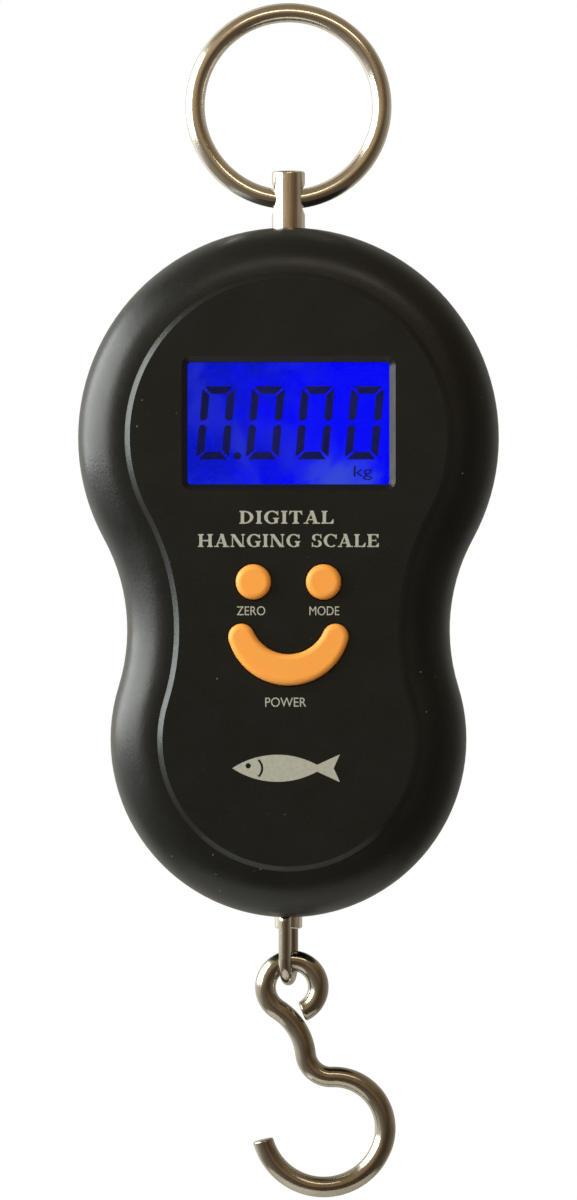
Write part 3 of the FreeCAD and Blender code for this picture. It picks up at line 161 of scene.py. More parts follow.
def moulded_plastic(name, dark, light, roughness, grain=0.4, grain_depth=0.045, specular=0.5):
    """Spark-textured moulding: fine grain, slow colour drift and slightly polished patches from handling."""
    material, tree, shader, place = new_material(name)
    fine = noise(tree, place, 1.0 / (grain * MM), 4.0, 0.6)
    drift = noise(tree, place, 45.0, 4.0, 0.55)
    rub = noise(tree, place, 160.0, 5.0, 0.65, 0.4)
    slow = remap(tree, drift, 0.3, 0.7, 0.0, 0.5)
    speckle = arithmetic(tree, "ADD", slow, remap(tree, fine, 0.3, 0.7, 0.0, 0.5))
    colour = blend_colours(tree, speckle, rgba(*dark), rgba(*light))
    tree.links.new(colour, shader.inputs["Base Color"])
    polish = remap(tree, rub, 0.35, 0.7, roughness + 0.05, roughness - 0.05)
    grainy = arithmetic(tree, "ADD", polish, remap(tree, fine, 0.3, 0.7, -0.03, 0.03))
    tree.links.new(grainy, shader.inputs["Roughness"])
    shader.inputs["Specular IOR Level"].default_value = specular
    bump(tree, shader, fine, 0.5, grain_depth * MM)
    return material


def dusty(material, colour):
    """Add a few grains of pale dust to a moulding."""
    tree = material.node_tree
    shader = tree.nodes["Principled BSDF"]
    place = node(tree, "ShaderNodeTexCoord").outputs["Object"]
    under = shader.inputs["Base Color"].links[0].from_socket
    cells = node(tree, "ShaderNodeTexVoronoi", {"Vector": place, "Scale": 420.0})
    grain = smooth(tree, cells.outputs["Distance"], 0.060, 0.035)
    patch = smooth(tree, noise(tree, place, 70.0, 2.0), 0.50, 0.62)
    speck = arithmetic(tree, "MULTIPLY", grain, patch)
    tree.links.new(blend_colours(tree, speck, under, rgba(*colour)), shader.inputs["Base Color"])
    return material


def plated_metal(name, bright, warm, roughness, streak=(400.0, 400.0, 400.0), depth=0.006, streak_tint=0.15):
    """Nickel plate: warm and cool patches, faint drawn lines and hairline scratches."""
    material, tree, shader, place = new_material(name)
    patches = noise(tree, place, 180.0, 4.0, 0.6, 0.3)
    lines = noise(tree, stretched(tree, place, *streak), 6.0, 5.0, 0.7)
    patchy = remap(tree, patches, 0.35, 0.7, 0.0, 1.0 - streak_tint)
    tarnish = arithmetic(tree, "ADD", patchy, remap(tree, lines, 0.35, 0.65, 0.0, streak_tint))
    colour = blend_colours(tree, tarnish, rgba(*bright), rgba(*warm))
    tree.links.new(colour, shader.inputs["Base Color"])
    shader.inputs["Metallic"].default_value = 1.0
    tree.links.new(remap(tree, lines, 0.3, 0.75, roughness, roughness + 0.07), shader.inputs["Roughness"])
    bump(tree, shader, lines, 0.10, depth * MM)
    return material


def lit_display(name):
    """Blue-lit liquid crystal cell: even saturated blue with hazy paler clouds."""
    material, tree, shader, place = new_material(name)
    weave = noise(tree, place, 3500.0, 3.0, 0.7)
    cloud = noise(tree, place, 150.0, 4.0, 0.6, 0.8)
    haze = noise(tree, place, 95.0, 3.0, 0.55, 0.5)
    across = node(tree, "ShaderNodeSeparateXYZ", {"Vector": place}).outputs["X"]
    uneven = arithmetic(tree, "ADD", across, remap(tree, cloud, 0.3, 0.7, -6 * MM, 6 * MM))
    even = blend_colours(tree, smooth(tree, uneven, -15 * MM, 6 * MM), rgba(0.001, 0.006, 0.50),
                         rgba(0.0, 0.0, 0.92))
    corner = node(tree, "ShaderNodeVectorMath", {0: place, 1: (7.5 * MM, GLASS_Y, -67.5 * MM)},
                  operation="DISTANCE").outputs["Value"]
    near = arithmetic(tree, "ADD", corner, remap(tree, cloud, 0.3, 0.7, -2.5 * MM, 2.5 * MM))
    blue = blend_colours(tree, smooth(tree, near, 7.5 * MM, 0.5 * MM), even, rgba(0.036, 0.066, 0.64))
    hazy = arithmetic(tree, "MULTIPLY", remap(tree, haze, 0.48, 0.66, 0.0, 0.75),
                      smooth(tree, across, 7 * MM, -4 * MM))
    blue = blend_colours(tree, hazy, blue, rgba(0.024, 0.036, 0.60))
    blue = blend_colours(tree, remap(tree, weave, 0.45, 0.70, 0.0, 0.30), blue, rgba(0.024, 0.040, 0.68))
    tree.links.new(blue, shader.inputs["Emission Color"])
    shader.inputs["Emission Strength"].default_value = 1.0
    tree.links.new(blend_colours(tree, weave, rgba(0.0, 0.0, 0.02), rgba(0.0, 0.001, 0.03)),
                   shader.inputs["Base Color"])
    tree.links.new(remap(tree, weave, 0.3, 0.7, 0.3, 0.4), shader.inputs["Roughness"])
    shader.inputs["Specular IOR Level"].default_value = 0.02
    return material


def clear_plastic(name):
    """Clear window pane with faint hairlines."""
    material, tree, shader, place = new_material(name)
    lines = noise(tree, stretched(tree, place, 300.0, 300.0, 2600.0), 3.0, 6.0, 0.7)
    tree.links.new(remap(tree, lines, 0.4, 0.8, 0.02, 0.10), shader.inputs["Roughness"])
    tint = blend_colours(tree, lines, rgba(0.97, 0.98, 1.0), rgba(0.99, 0.99, 1.0))
    tree.links.new(tint, shader.inputs["Base Color"])
    shader.inputs["Transmission Weight"].default_value = 1.0
    shader.inputs["IOR"].default_value = 1.08
    return material


def printed_ink(name, colour, roughness=0.45):
    """Screen-printed ink, slightly uneven in cover."""
    material, tree, shader, place = new_material(name)
    cover = noise(tree, place, 1500.0, 4.0, 0.6)
    thin = tuple(part * 0.88 for part in colour)
    tree.links.new(blend_colours(tree, remap(tree, cover, 0.35, 0.6, 0.0, 1.0), rgba(*thin), rgba(*colour)),
                   shader.inputs["Base Color"])
    tree.links.new(remap(tree, cover, 0.3, 0.7, roughness - 0.06, roughness + 0.08),
                   shader.inputs["Roughness"])
    bump(tree, shader, cover, 0.3, 0.006 * MM)
    return material


def crystal_ink(name):
    """A switched-on display segment: near-black blue that lets a little backlight through."""
    material, tree, shader, place = new_material(name)
    cloud = noise(tree, place, 120.0, 3.0, 0.5)
    glow = blend_colours(tree, cloud, rgba(0.003, 0.003, 0.022), rgba(0.002, 0.004, 0.060))
    tree.links.new(glow, shader.inputs["Emission Color"])
    shader.inputs["Emission Strength"].default_value = 1.0
    tree.links.new(blend_colours(tree, cloud, rgba(0.005, 0.005, 0.03), rgba(0.01, 0.01, 0.05)),
                   shader.inputs["Base Color"])
    tree.links.new(remap(tree, cloud, 0.3, 0.7, 0.35, 0.5), shader.inputs["Roughness"])
    shader.inputs["Specular IOR Level"].default_value = 0.04
    return material


def circuit_green(name):
    """Green solder mask over copper tracks that show as slightly paler lines."""
    material, tree, shader, place = new_material(name)
    tracks = node(tree, "ShaderNodeTexBrick", {"Vector": stretched(tree, place, 900.0, 900.0, 900.0),
                                               "Scale": 1.0, "Mortar Size": 0.12, "Brick Width": 1.3,
                                               "Row Height": 0.9})
    drift = noise(tree, place, 300.0, 3.0)
    tint = blend_colours(tree, drift, rgba(0.012, 0.12, 0.045), rgba(0.02, 0.17, 0.06))
    colour = blend_colours(tree, tracks.outputs["Fac"], tint, rgba(0.05, 0.26, 0.10))
    tree.links.new(colour, shader.inputs["Base Color"])
    tree.links.new(remap(tree, drift, 0.3, 0.7, 0.25, 0.38), shader.inputs["Roughness"])
    bump(tree, shader, tracks.outputs["Fac"], 0.4, 0.03 * MM)
    return material


COPPER_BAND = 12 * MM
BAND_EDGE = 0.2 * MM


def battery_jacket(name):
    """Printed metal jacket: dark body with a copper band at the cap end, fine vertical brush lines."""
    material, tree, shader, place = new_material(name)
    parts = node(tree, "ShaderNodeSeparateXYZ", {"Vector": place})
    side, height = parts.outputs["X"], parts.outputs["Z"]
    cell_low, cell_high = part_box("battery_left")
    top_start = cell_high.z - COPPER_BAND
    low_end = cell_low.z + COPPER_BAND
    top_band = remap(tree, height, top_start, top_start + BAND_EDGE, 0.0, 1.0)
    low_band = remap(tree, height, low_end - BAND_EDGE, low_end, 1.0, 0.0)
    left_cell = arithmetic(tree, "MULTIPLY", top_band, remap(tree, side, -1 * MM, 1 * MM, 1.0, 0.0))
    right_cell = arithmetic(tree, "MULTIPLY", low_band, remap(tree, side, -1 * MM, 1 * MM, 0.0, 1.0))
    band = arithmetic(tree, "ADD", left_cell, right_cell)
    brush = noise(tree, stretched(tree, place, 3000.0, 3000.0, 60.0), 3.0, 4.0)
    body = blend_colours(tree, brush, rgba(0.016, 0.018, 0.022), rgba(0.03, 0.033, 0.04))
    copper = blend_colours(tree, brush, rgba(0.62, 0.30, 0.12), rgba(0.78, 0.42, 0.2))
    tree.links.new(blend_colours(tree, band, body, copper), shader.inputs["Base Color"])
    tree.links.new(remap(tree, brush, 0.3, 0.7, 0.22, 0.36), shader.inputs["Roughness"])
    shader.inputs["Metallic"].default_value = 0.75
    bump(tree, shader, brush, 0.15, 0.01 * MM)
    return material


BLACK_DARK = (0.0056, 0.0062, 0.0058)
BLACK_LIGHT = (0.0080, 0.0088, 0.0082)

MATERIALS = {
    "black_shell": dusty(moulded_plastic("black_shell_look", BLACK_DARK, BLACK_LIGHT, 0.32, specular=0.42),
                         (0.16, 0.155, 0.14)),
    "black_shell_rear": moulded_plastic("black_rear_look", BLACK_DARK, BLACK_LIGHT, 0.33, specular=0.42),
    "black_door": moulded_plastic("black_door_look", BLACK_DARK, BLACK_LIGHT, 0.34, specular=0.42),
    "orange_button": moulded_plastic("orange_button_look", (0.95, 0.37, 0.062), (0.99, 0.41, 0.075),
                                     0.45, 0.18, 0.008),
    "white_frame": moulded_plastic("white_frame_look", (0.62, 0.62, 0.59), (0.72, 0.72, 0.69), 0.5),
    "backlight": moulded_plastic("light_guide_look", (0.1, 0.14, 0.75), (0.14, 0.2, 0.85), 0.3),
    "silicone_strip": moulded_plastic("silicone_strip_look", (0.35, 0.36, 0.33), (0.5, 0.5, 0.45), 0.6),
    "resin": moulded_plastic("resin_look", (0.008, 0.008, 0.008), (0.015, 0.015, 0.014), 0.25),
    "components": moulded_plastic("components_look", (0.05, 0.045, 0.04), (0.16, 0.13, 0.1), 0.4, 0.1),
    "switch_body": moulded_plastic("switch_body_look", (0.02, 0.02, 0.02), (0.04, 0.04, 0.038), 0.4),
    "switch_plunger": moulded_plastic("switch_plunger_look", (0.4, 0.4, 0.38), (0.5, 0.5, 0.47), 0.35),
    "sealant": moulded_plastic("sealant_look", (0.7, 0.7, 0.66), (0.82, 0.82, 0.78), 0.5, 0.6, 0.05),
    "gauge_foil": moulded_plastic("gauge_foil_look", (0.45, 0.26, 0.06), (0.6, 0.38, 0.1), 0.3),
    "gauge_wire": moulded_plastic("gauge_wire_look", (0.5, 0.5, 0.47), (0.65, 0.65, 0.6), 0.4),
    "red_lead": moulded_plastic("red_lead_look", (0.42, 0.012, 0.01), (0.55, 0.02, 0.015), 0.38),
    "black_lead": moulded_plastic("black_lead_look", (0.01, 0.01, 0.01), (0.02, 0.02, 0.02), 0.38),
    "ring_steel": plated_metal("ring_plate", (0.84, 0.80, 0.72), (0.72, 0.65, 0.54), 0.14, depth=0.002),
    "post_steel": plated_metal("post_plate", (0.92, 0.90, 0.84), (0.62, 0.55, 0.44), 0.11,
                               (700.0, 700.0, 18.0), 0.004, 0.7),
    # The link and the hook are the same nickel plate as the ring; their darker colours are painted shade that
    # stands in for the dark surroundings they reflect.
    "link_steel": plated_metal("link_plate_painted_shade", (0.56, 0.53, 0.46), (0.44, 0.40, 0.33), 0.12, depth=0.002),
    "hook_steel": plated_metal("hook_plate_painted_shade", (0.50, 0.47, 0.40), (0.36, 0.32, 0.25), 0.15, depth=0.003),
    "aluminium_bar": plated_metal("aluminium_bar_look", (0.78, 0.78, 0.77), (0.7, 0.7, 0.69), 0.3,
                                  (300.0, 300.0, 3000.0)),
    "pin_steel": plated_metal("pin_look", (0.6, 0.6, 0.6), (0.5, 0.49, 0.47), 0.25),
    "contact_plate": plated_metal("contact_plate_look", (0.76, 0.75, 0.7), (0.66, 0.64, 0.58), 0.22),
    "spring_wire": plated_metal("spring_wire_look", (0.72, 0.71, 0.68), (0.6, 0.58, 0.54), 0.2),
    "screw_steel": plated_metal("screw_look", (0.42, 0.42, 0.42), (0.3, 0.29, 0.28), 0.28),
    "lcd_glass": lit_display("lcd_glass_look"),
    "clear_window": clear_plastic("clear_window_look"),
    "board": circuit_green("board_look"),
    "battery_can": battery_jacket("battery_jacket_look"),
}


def dress_cad_nodes():
    """Give every CAD node the material of its slot."""
    slot_of = {entry["node"]: entry["material_slot"] for entry in frame["record"]["subparts"]}
    for name, piece in nodes.items():
        look = MATERIALS[slot_of[name]]
        for holder in piece.material_slots:
            holder.material = look
        if not piece.material_slots:
            piece.data.materials.append(look)


# ---------------------------------------------------------------- flat printed shapes

PRINT_SUNK = 0.02 * MM
PRINT_PROUD = 0.015 * MM
PRINT_STEP = 0.003 * MM
MARK_LIFT = 0.02 * MM
MARK_THICK = 0.01 * MM
PALE_INK = printed_ink("pale_ink", (0.44, 0.44, 0.38))


def add_piece(name, mesh, look, body):
    """Link a finished mesh as a piece that rides on a CAD body."""
    mesh.materials.clear()
    mesh.materials.append(look)
    piece = bpy.data.objects.new(name, mesh)
    scene.collection.objects.link(piece)
    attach(piece, body)
    return piece


def plate_from_outlines(name, outlines, back_y, thickness, step=0.0):
    """Thin plates that face -Y, one for each outline of (x, z) points in millimetres.

    Each of four neighbours is thicker by one step, so strokes that cross are never level.
    """
    mesh = bpy.data.meshes.new(name)
    form = bmesh.new()
    for number, outline in enumerate(outlines):
        corners = [form.verts.new((x * MM, back_y, z * MM)) for x, z in outline]
        face = form.faces.new(corners)
        raised = bmesh.ops.extrude_face_region(form, geom=[face])
        moved = [part for part in raised["geom"] if isinstance(part, bmesh.types.BMVert)]
        bmesh.ops.translate(form, verts=moved, vec=(0.0, -thickness - step * (number % 4), 0.0))
    bmesh.ops.recalc_face_normals(form, faces=form.faces)
    form.to_mesh(mesh)
    form.free()
    return mesh


def text_mesh(name, words, centre, width, height, thickness):
    """Plain sans lettering fitted to a width and a height, facing -Y."""
    curve = bpy.data.curves.new(name, "FONT")
    curve.body = words
    curve.size = 1.0
    curve.extrude = 0.5
    holder = bpy.data.objects.new(name + "_curve", curve)
    scene.collection.objects.link(holder)
    bpy.context.view_layer.update()
    mesh = bpy.data.meshes.new_from_object(holder)
    bpy.data.objects.remove(holder)
    points = [vertex.co for vertex in mesh.vertices]
    low = Vector(min(point[axis] for point in points) for axis in range(3))
    high = Vector(max(point[axis] for point in points) for axis in range(3))
    middle = (low + high) / 2
    for vertex in mesh.vertices:
        across = (vertex.co.x - middle.x) / (high.x - low.x) * width
        up = (vertex.co.y - middle.y) / (high.y - low.y) * height
        out = (vertex.co.z - low.z) / (high.z - low.z) * thickness
        vertex.co = (centre.x + across, centre.y - out, centre.z + up)
    return mesh


def printed_label(name, words, x, z, width, height):
    """A generic word in pale ink on the panel. Sizes are in millimetres."""
    centre = Vector((x * MM, FRONT_Y + PRINT_SUNK, z * MM))
    mesh = text_mesh(name, words, centre, width * MM, height * MM, PRINT_SUNK + PRINT_PROUD)
    add_piece(name, mesh, PALE_INK, "case")


def arc_points(x, z, radius, start, end, count):
    """Points on an arc, angles in degrees."""
    points = []
    for step in range(count + 1):
        angle = math.radians(start + (end - start) * step / count)
        points.append((x + radius * math.cos(angle), z + radius * math.sin(angle)))
    return points


# ---------------------------------------------------------------- bold serif capitals
# A letter is a list of outlines in a box one unit high; stems are thick and hairlines thin.

STEM = 0.20
HAIR = 0.085
SERIF = 0.085


def stem(x, low=0.0, high=1.0, width=STEM, foot=SERIF, head=SERIF):
    """An upright with flat slabs at its foot and its head."""
    right = x + width
    slab = HAIR * 0.7
    neck = HAIR * 1.5
    return [(x - foot, low), (right + foot, low), (right + foot, low + slab), (right, low + neck),
            (right, high - neck), (right + head, high - slab), (right + head, high), (x - head, high),
            (x - head, high - slab), (x, high - neck), (x, low + neck), (x - foot, low + slab)]


def bar(x0, x1, z, thick=HAIR):
    return [(x0, z - thick / 2), (x1, z - thick / 2), (x1, z + thick / 2), (x0, z + thick / 2)]


def slope(x0, z0, x1, z1, width):
    """A slanting stroke, measured across."""
    return [(x0, z0), (x0 + width, z0), (x1 + width, z1), (x1, z1)]


def crescent(x, z, wide, high, thick, start, end, count=20):
    """A bowl, thick at its side and thin at its ends."""
    outer = []
    inner = []
    for step in range(count + 1):
        angle = math.radians(start + (end - start) * step / count)
        outer.append((x + wide * math.cos(angle), z + high * math.sin(angle)))
        inner.append((x + (wide - thick) * math.cos(angle), z + (high - HAIR) * math.sin(angle)))
    return outer + inner[::-1]


SERIF_CAPITALS = {
    "D": (0.94, [stem(0.12), crescent(0.30, 0.5, 0.58, 0.5, 0.21, -90, 90)]),
    "I": (0.44, [stem(0.12)]),
    "G": (0.98, [crescent(0.52, 0.5, 0.48, 0.515, 0.21, 42, 300), stem(0.66, 0.04, 0.46, STEM, 0.0),
                 [(0.83, 0.66), (0.89, 0.66), (0.89, 0.98), (0.85, 0.98), (0.76, 0.86)]]),
    "T": (0.84, [stem(0.32, 0.0, 1.0, STEM, 0.1, 0.0), bar(0.04, 0.80, 1.0 - HAIR / 2),
                 [(0.02, 0.70), (0.07, 0.70), (0.20, 0.93), (0.04, 0.93)],
                 [(0.82, 0.70), (0.80, 0.93), (0.64, 0.93), (0.77, 0.70)]]),
    "A": (0.98, [slope(0.10, 0.03, 0.44, 0.98, 0.09), slope(0.63, 0.03, 0.37, 1.02, 0.22),
                 bar(0.24, 0.66, 0.32), bar(0.0, 0.30, HAIR / 2), bar(0.54, 0.98, HAIR / 2)]),
    "L": (0.80, [stem(0.12), bar(0.30, 0.76, HAIR / 2),
                 [(0.76, 0.0), (0.78, 0.34), (0.73, 0.34), (0.56, 0.06)]]),
    "H": (1.04, [stem(0.12), stem(0.72), bar(0.30, 0.74, 0.5, 0.10)]),
    "N": (1.00, [stem(0.12, 0.0, 1.0, 0.07), stem(0.80, 0.0, 1.0, 0.07), slope(0.64, 0.0, 0.06, 1.0, 0.24)]),
    "S": (0.72, [crescent(0.36, 0.735, 0.30, 0.28, 0.17, 40, 250),
                 crescent(0.36, 0.265, 0.33, 0.28, 0.19, -140, 70),
                 [(0.60, 0.68), (0.66, 0.68), (0.66, 0.99), (0.61, 0.99), (0.55, 0.88)],
                 [(0.04, 0.0), (0.09, 0.0), (0.15, 0.11), (0.10, 0.34), (0.04, 0.34)]]),
    "C": (0.90, [crescent(0.52, 0.5, 0.48, 0.515, 0.21, 42, 312),
                 [(0.82, 0.64), (0.88, 0.64), (0.88, 0.98), (0.84, 0.98), (0.75, 0.86)]]),
    "E": (0.84, [stem(0.12), bar(0.30, 0.76, 1.0 - HAIR / 2), bar(0.30, 0.62, 0.51),
                 bar(0.30, 0.78, HAIR / 2),
                 [(0.76, 0.70), (0.78, 1.0), (0.58, 0.94), (0.71, 0.70)],
                 [(0.62, 0.36), (0.62, 0.66), (0.54, 0.51)],
                 [(0.78, 0.0), (0.80, 0.32), (0.75, 0.32), (0.58, 0.06)]]),
}
LETTER_GAP = 0.05
WORD_GAP = 0.62


def serif_label(name, words, x, z, width, height):
    """Bold serif capitals centred on a point; all sizes are in millimetres."""
    shapes = []
    pen = 0.0
    for letter in words:
        if letter == " ":
            pen += WORD_GAP
            continue
        advance, outlines = SERIF_CAPITALS[letter]
        shapes += [[(pen + along, up) for along, up in outline] for outline in outlines]
        pen += advance + LETTER_GAP
    stretch = width / (pen - LETTER_GAP)
    placed = [[(x + along * stretch - width / 2, z + (up - 0.5) * height) for along, up in outline]
              for outline in shapes]
    mesh = plate_from_outlines(name, placed, FRONT_Y + PRINT_SUNK, PRINT_SUNK + PRINT_PROUD, PRINT_STEP)
    add_piece(name, mesh, PALE_INK, "case")


def make_panel_print():
    """The title and the three button labels, in generic words."""
    serif_label("title_first_line", "DIGITAL", -0.3, -72.2, 13.7, 1.85)
    serif_label("title_second_line", "HANGING SCALE", 0.0, -75.55, 26.2, 1.85)
    printed_label("left_button_label", "ZERO", -5.4, -85.65, 4.1, 1.30)
    printed_label("right_button_label", "MODE", 5.15, -85.65, 4.3, 1.30)
    printed_label("lower_button_label", "POWER", -0.4, -98.8, 5.9, 1.34)


def make_fish_mark():
    """A plain fish outline: two arcs for the body and a forked tail."""
    x, z = -0.2, -108.3
    length, depth = 13.0, 3.9
    reach = length / 2
    radius = (reach ** 2 + (depth / 2) ** 2) / depth
    spread = math.degrees(math.asin(reach / radius))
    upper = arc_points(x - 1.4, z - radius + depth / 2, radius, 90 + spread, 90 - spread, 24)
    lower = arc_points(x - 1.4, z + radius - depth / 2, radius, -90 + spread, -90 - spread, 24)
    body = upper + lower[1:-1]
    tail = [(x + 3.9, z + 0.3), (x + 7.6, z + 2.0), (x + 6.7, z), (x + 7.6, z - 2.0), (x + 3.9, z - 0.3)]
    outer = plate_from_outlines("fish_mark", [body, tail], FRONT_Y + PRINT_SUNK, PRINT_SUNK + PRINT_PROUD,
                                PRINT_STEP)
    add_piece("fish_mark", outer, PALE_INK, "case")
    pupil = arc_points(x - 5.6, z + 0.35, 0.38, 0, 345, 23)
    eye = plate_from_outlines("fish_eye", [pupil], FRONT_Y - MARK_LIFT, MARK_THICK)
    add_piece("fish_eye", eye, MATERIALS["black_shell"], "case")
    gill = arc_points(x - 5.2, z, 1.75, -48, 48, 14) + arc_points(x - 5.2, z, 1.45, 48, -48, 14)
    line = plate_from_outlines("fish_gill", [gill], FRONT_Y - MARK_LIFT, MARK_THICK)
    add_piece("fish_gill", line, MATERIALS["black_shell"], "case")


# ---------------------------------------------------------------- display figures

DIGIT_HEIGHT = 10.55
DIGIT_WIDTH = 4.75
DIGIT_PITCH = 7.16
DIGIT_LEFT = -13.36
DIGIT_FOOT = -63.80
BAR = 1.1
CORNER_GAP = 0.17
MIDDLE_GAP = 0.30
TAPER = 0.35
SLANT = 0.092
DIGIT_THICK = 0.02 * MM


def zero_bars():
    """The six lit bars of a seven-segment nought in the digit's own box, with gaps at the corners."""
    wide, high, thick = DIGIT_WIDTH, DIGIT_HEIGHT, BAR
    gap = CORNER_GAP
    end = high / 2 + MIDDLE_GAP
    top = [(2 * gap, high), (wide - 2 * gap, high), (wide - gap - thick, high - thick),
           (gap + thick, high - thick)]
    foot = [(x, high - z) for x, z in top]
    upper_left = [(0, high - 2 * gap), (thick, high - gap - thick), (thick, end + TAPER), (thick * 0.62, end),
                  (thick * 0.3, end), (0, end + TAPER)]
    bars = [top, foot, upper_left]
    bars.append([(x, high - z) for x, z in upper_left])
    bars.append([(wide - x, z) for x, z in upper_left])
    bars.append([(wide - x, high - z) for x, z in upper_left])
    return bars


def make_display_figures():
    """Four noughts with a decimal point, and the unit, just in front of the display glass."""
    ink = crystal_ink("crystal_ink")
    outlines = []
    for number in range(4):
        left = DIGIT_LEFT + number * DIGIT_PITCH
        for segment in zero_bars():
            outlines.append([(left + x + z * SLANT, DIGIT_FOOT + z) for x, z in segment])
    outlines.append(arc_points(-7.38, -63.3, 0.55, 0, 345, 23))
    digits = plate_from_outlines("display_digits", outlines, GLASS_Y, DIGIT_THICK)
    add_piece("display_digits", digits, ink, "case")
    centre = Vector((10.75 * MM, GLASS_Y, -65.75 * MM))
    unit = text_mesh("display_unit", "kg", centre, 2.7 * MM, 2.05 * MM, DIGIT_THICK)
    add_piece("display_unit", unit, ink, "case")


# ---------------------------------------------------------------- studio

# Room colours from far left to far right, as seen from the scale looking forward.
ROOM_COLOURS = [(0.0, (0.56, 0.47, 0.32)), (0.20, (0.52, 0.42, 0.27)), (0.50, (0.37, 0.265, 0.15)),
                (0.64, (0.25, 0.17, 0.10)), (0.78, (0.125, 0.080, 0.047)), (0.92, (0.12, 0.082, 0.052)),
                (1.0, (0.30, 0.25, 0.19))]
# The same below the level of the camera.
LOWER_COLOURS = [(0.0, (0.85, 0.82, 0.76)), (0.10, (0.26, 0.235, 0.195)), (0.26, (0.20, 0.17, 0.135)),
                 (0.50, (0.115, 0.083, 0.053)), (0.70, (0.075, 0.056, 0.038)), (0.87, (0.11, 0.085, 0.055)),
                 (1.0, (0.24, 0.21, 0.165))]
# The paper behind, from left to right.
PAPER_COLOURS = [(0.0, (1.3, 1.28, 1.2)), (0.3, (0.75, 0.71, 0.62)), (0.5, (0.46, 0.43, 0.36)),
                 (0.7, (0.42, 0.39, 0.33)), (1.0, (0.50, 0.47, 0.41))]
CEILING_COLOUR = (0.26, 0.20, 0.125)


def make_world():
    """A dim warm room in front of the scale and paper behind it; the camera sees plain white."""
    world = bpy.data.worlds.new("studio")
    scene.world = world
    world.use_nodes = True
    tree = world.node_tree
    tree.nodes.clear()
    direction = node(tree, "ShaderNodeTexCoord").outputs["Generated"]
    parts = node(tree, "ShaderNodeSeparateXYZ", {"Vector": direction})
    x, y, z = parts.outputs["X"], parts.outputs["Y"], parts.outputs["Z"]
    across = remap(tree, x, -1.0, 1.0, 0.0, 1.0)
    room = ramp(tree, across, ROOM_COLOURS)
    room = blend_colours(tree, smooth(tree, z, 0.25, 0.75), room, rgba(*CEILING_COLOUR))
    room = blend_colours(tree, smooth(tree, z, 0.06, -0.05), room, ramp(tree, across, LOWER_COLOURS))
    paper = ramp(tree, across, PAPER_COLOURS)
    around = blend_colours(tree, smooth(tree, y, 0.05, 0.60), room, paper)
    lighting = node(tree, "ShaderNodeBackground", {"Color": around, "Strength": 1.0})
    backdrop = node(tree, "ShaderNodeBackground", {"Color": rgba(1.0, 1.0, 1.0), "Strength": 1.0})
    seen = node(tree, "ShaderNodeLightPath").outputs["Is Camera Ray"]
    mixed = node(tree, "ShaderNodeMixShader", {"Fac": seen})
    tree.links.new(lighting.outputs["Background"], mixed.inputs[1])
    tree.links.new(backdrop.outputs["Background"], mixed.inputs[2])
    output = node(tree, "ShaderNodeOutputWorld")
    tree.links.new(mixed.outputs["Shader"], output.inputs["Surface"])


FLOOR_DROP = 220 * MM
FLOOR_RADIUS = 250 * MM


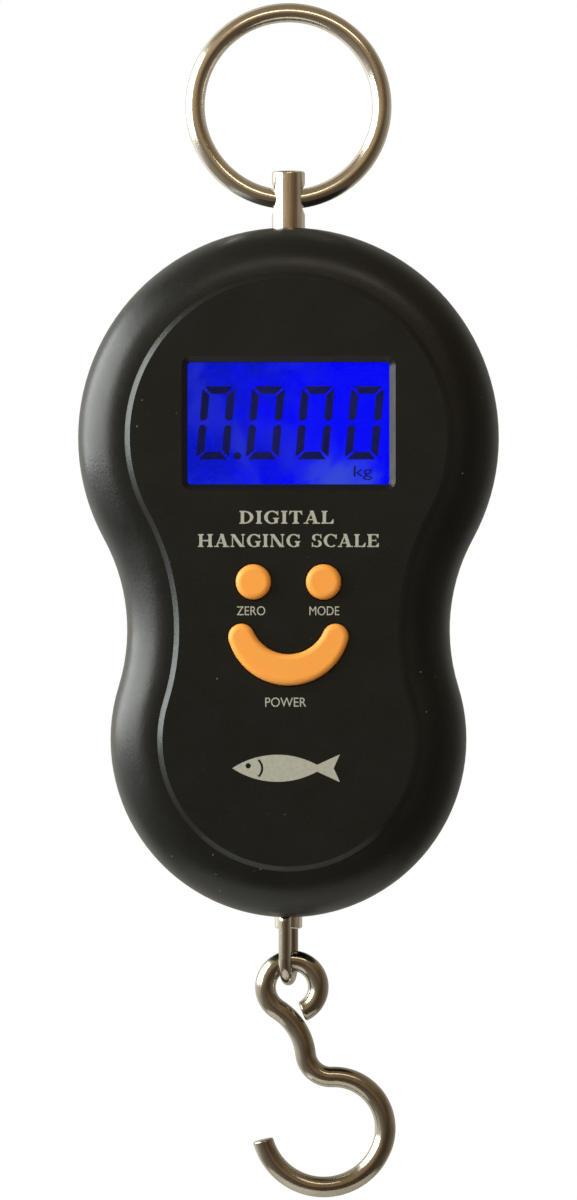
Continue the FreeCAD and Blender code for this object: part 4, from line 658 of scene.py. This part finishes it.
def make_floor():
    """A plain pale floor under the hanging scale; its edge fades to white for the camera."""
    bpy.ops.mesh.primitive_circle_add(vertices=96, radius=FLOOR_RADIUS, fill_type="NGON",
                                      location=(0.0, 0.0, cad_box[0].z - FLOOR_DROP))
    floor = bpy.context.object
    floor.name = "pale_floor"
    material, tree, shader, place = new_material("pale_floor_look")
    grain = noise(tree, place, 900.0, 3.0)
    tree.links.new(blend_colours(tree, grain, rgba(0.74, 0.74, 0.73), rgba(0.79, 0.79, 0.78)),
                   shader.inputs["Base Color"])
    shader.inputs["Roughness"].default_value = 0.7
    distance = node(tree, "ShaderNodeVectorMath", {"Vector": place}, operation="LENGTH").outputs["Value"]
    seen = node(tree, "ShaderNodeLightPath").outputs["Is Camera Ray"]
    fade = arithmetic(tree, "MULTIPLY", smooth(tree, distance, 0.05, 0.22), seen)
    white = node(tree, "ShaderNodeEmission", {"Color": rgba(1.0, 1.0, 1.0), "Strength": 1.0})
    faded = node(tree, "ShaderNodeMixShader", {"Fac": fade})
    tree.links.new(shader.outputs["BSDF"], faded.inputs[1])
    tree.links.new(white.outputs["Emission"], faded.inputs[2])
    tree.links.new(faded.outputs["Shader"], tree.nodes["Material Output"].inputs["Surface"])
    floor.data.materials.append(material)


def soft_light(name, position, target, width, height, power, colour=(1.0, 1.0, 1.0)):
    """A rectangular soft box that faces a point."""
    lamp = bpy.data.lights.new(name, "AREA")
    lamp.shape = "RECTANGLE"
    lamp.size = width
    lamp.size_y = height
    lamp.energy = power
    lamp.color = colour
    holder = bpy.data.objects.new(name, lamp)
    holder.location = position
    holder.rotation_mode = "QUATERNION"
    holder.rotation_quaternion = (Vector(position) - Vector(target)).to_track_quat("Z", "Y")
    holder.visible_camera = False
    scene.collection.objects.link(holder)
    return holder


def make_lights():
    """A key with no highlight of its own, a window and its curtain on the left, and a thin top strip."""
    key = soft_light("soft_key", (-0.14, -0.50, 0.22), (0.0, 0.0, -0.09), 0.30, 0.30, 1.3,
                     (1.0, 0.985, 0.96))
    key.visible_glossy = False
    soft_light("window", (-0.45, 0.02, 0.085), (0.0, 0.02, 0.085), 0.44, 0.39, 3.9, (0.94, 1.0, 0.98))
    soft_light("curtain", (-0.45, -0.325, 0.085), (0.0, -0.325, 0.085), 0.25, 0.39, 2.1, (0.96, 1.0, 0.97))
    soft_light("top_strip", (0.05, -0.42, 0.20), (0.0, 0.0, -0.03), 0.30, 0.05, 0.19, (1.0, 0.92, 0.72))


def make_camera():
    """A long lens, level with the middle of the scale and square to its face."""
    distance = 1.0
    shown_height = 0.1747
    camera = bpy.data.cameras.new("camera")
    camera.lens = camera.sensor_width * distance / shown_height
    camera.clip_start = 0.01
    camera.clip_end = 50.0
    holder = bpy.data.objects.new("camera", camera)
    holder.location = (0.0, -distance, -0.0841)
    holder.rotation_euler = (math.pi / 2, 0.0, 0.0)
    scene.collection.objects.link(holder)
    scene.camera = holder


make_camera()
make_world()
make_floor()
make_lights()
dress_cad_nodes()
make_panel_print()
make_fish_mark()
make_display_figures()
scene.view_settings.view_transform = "Standard"
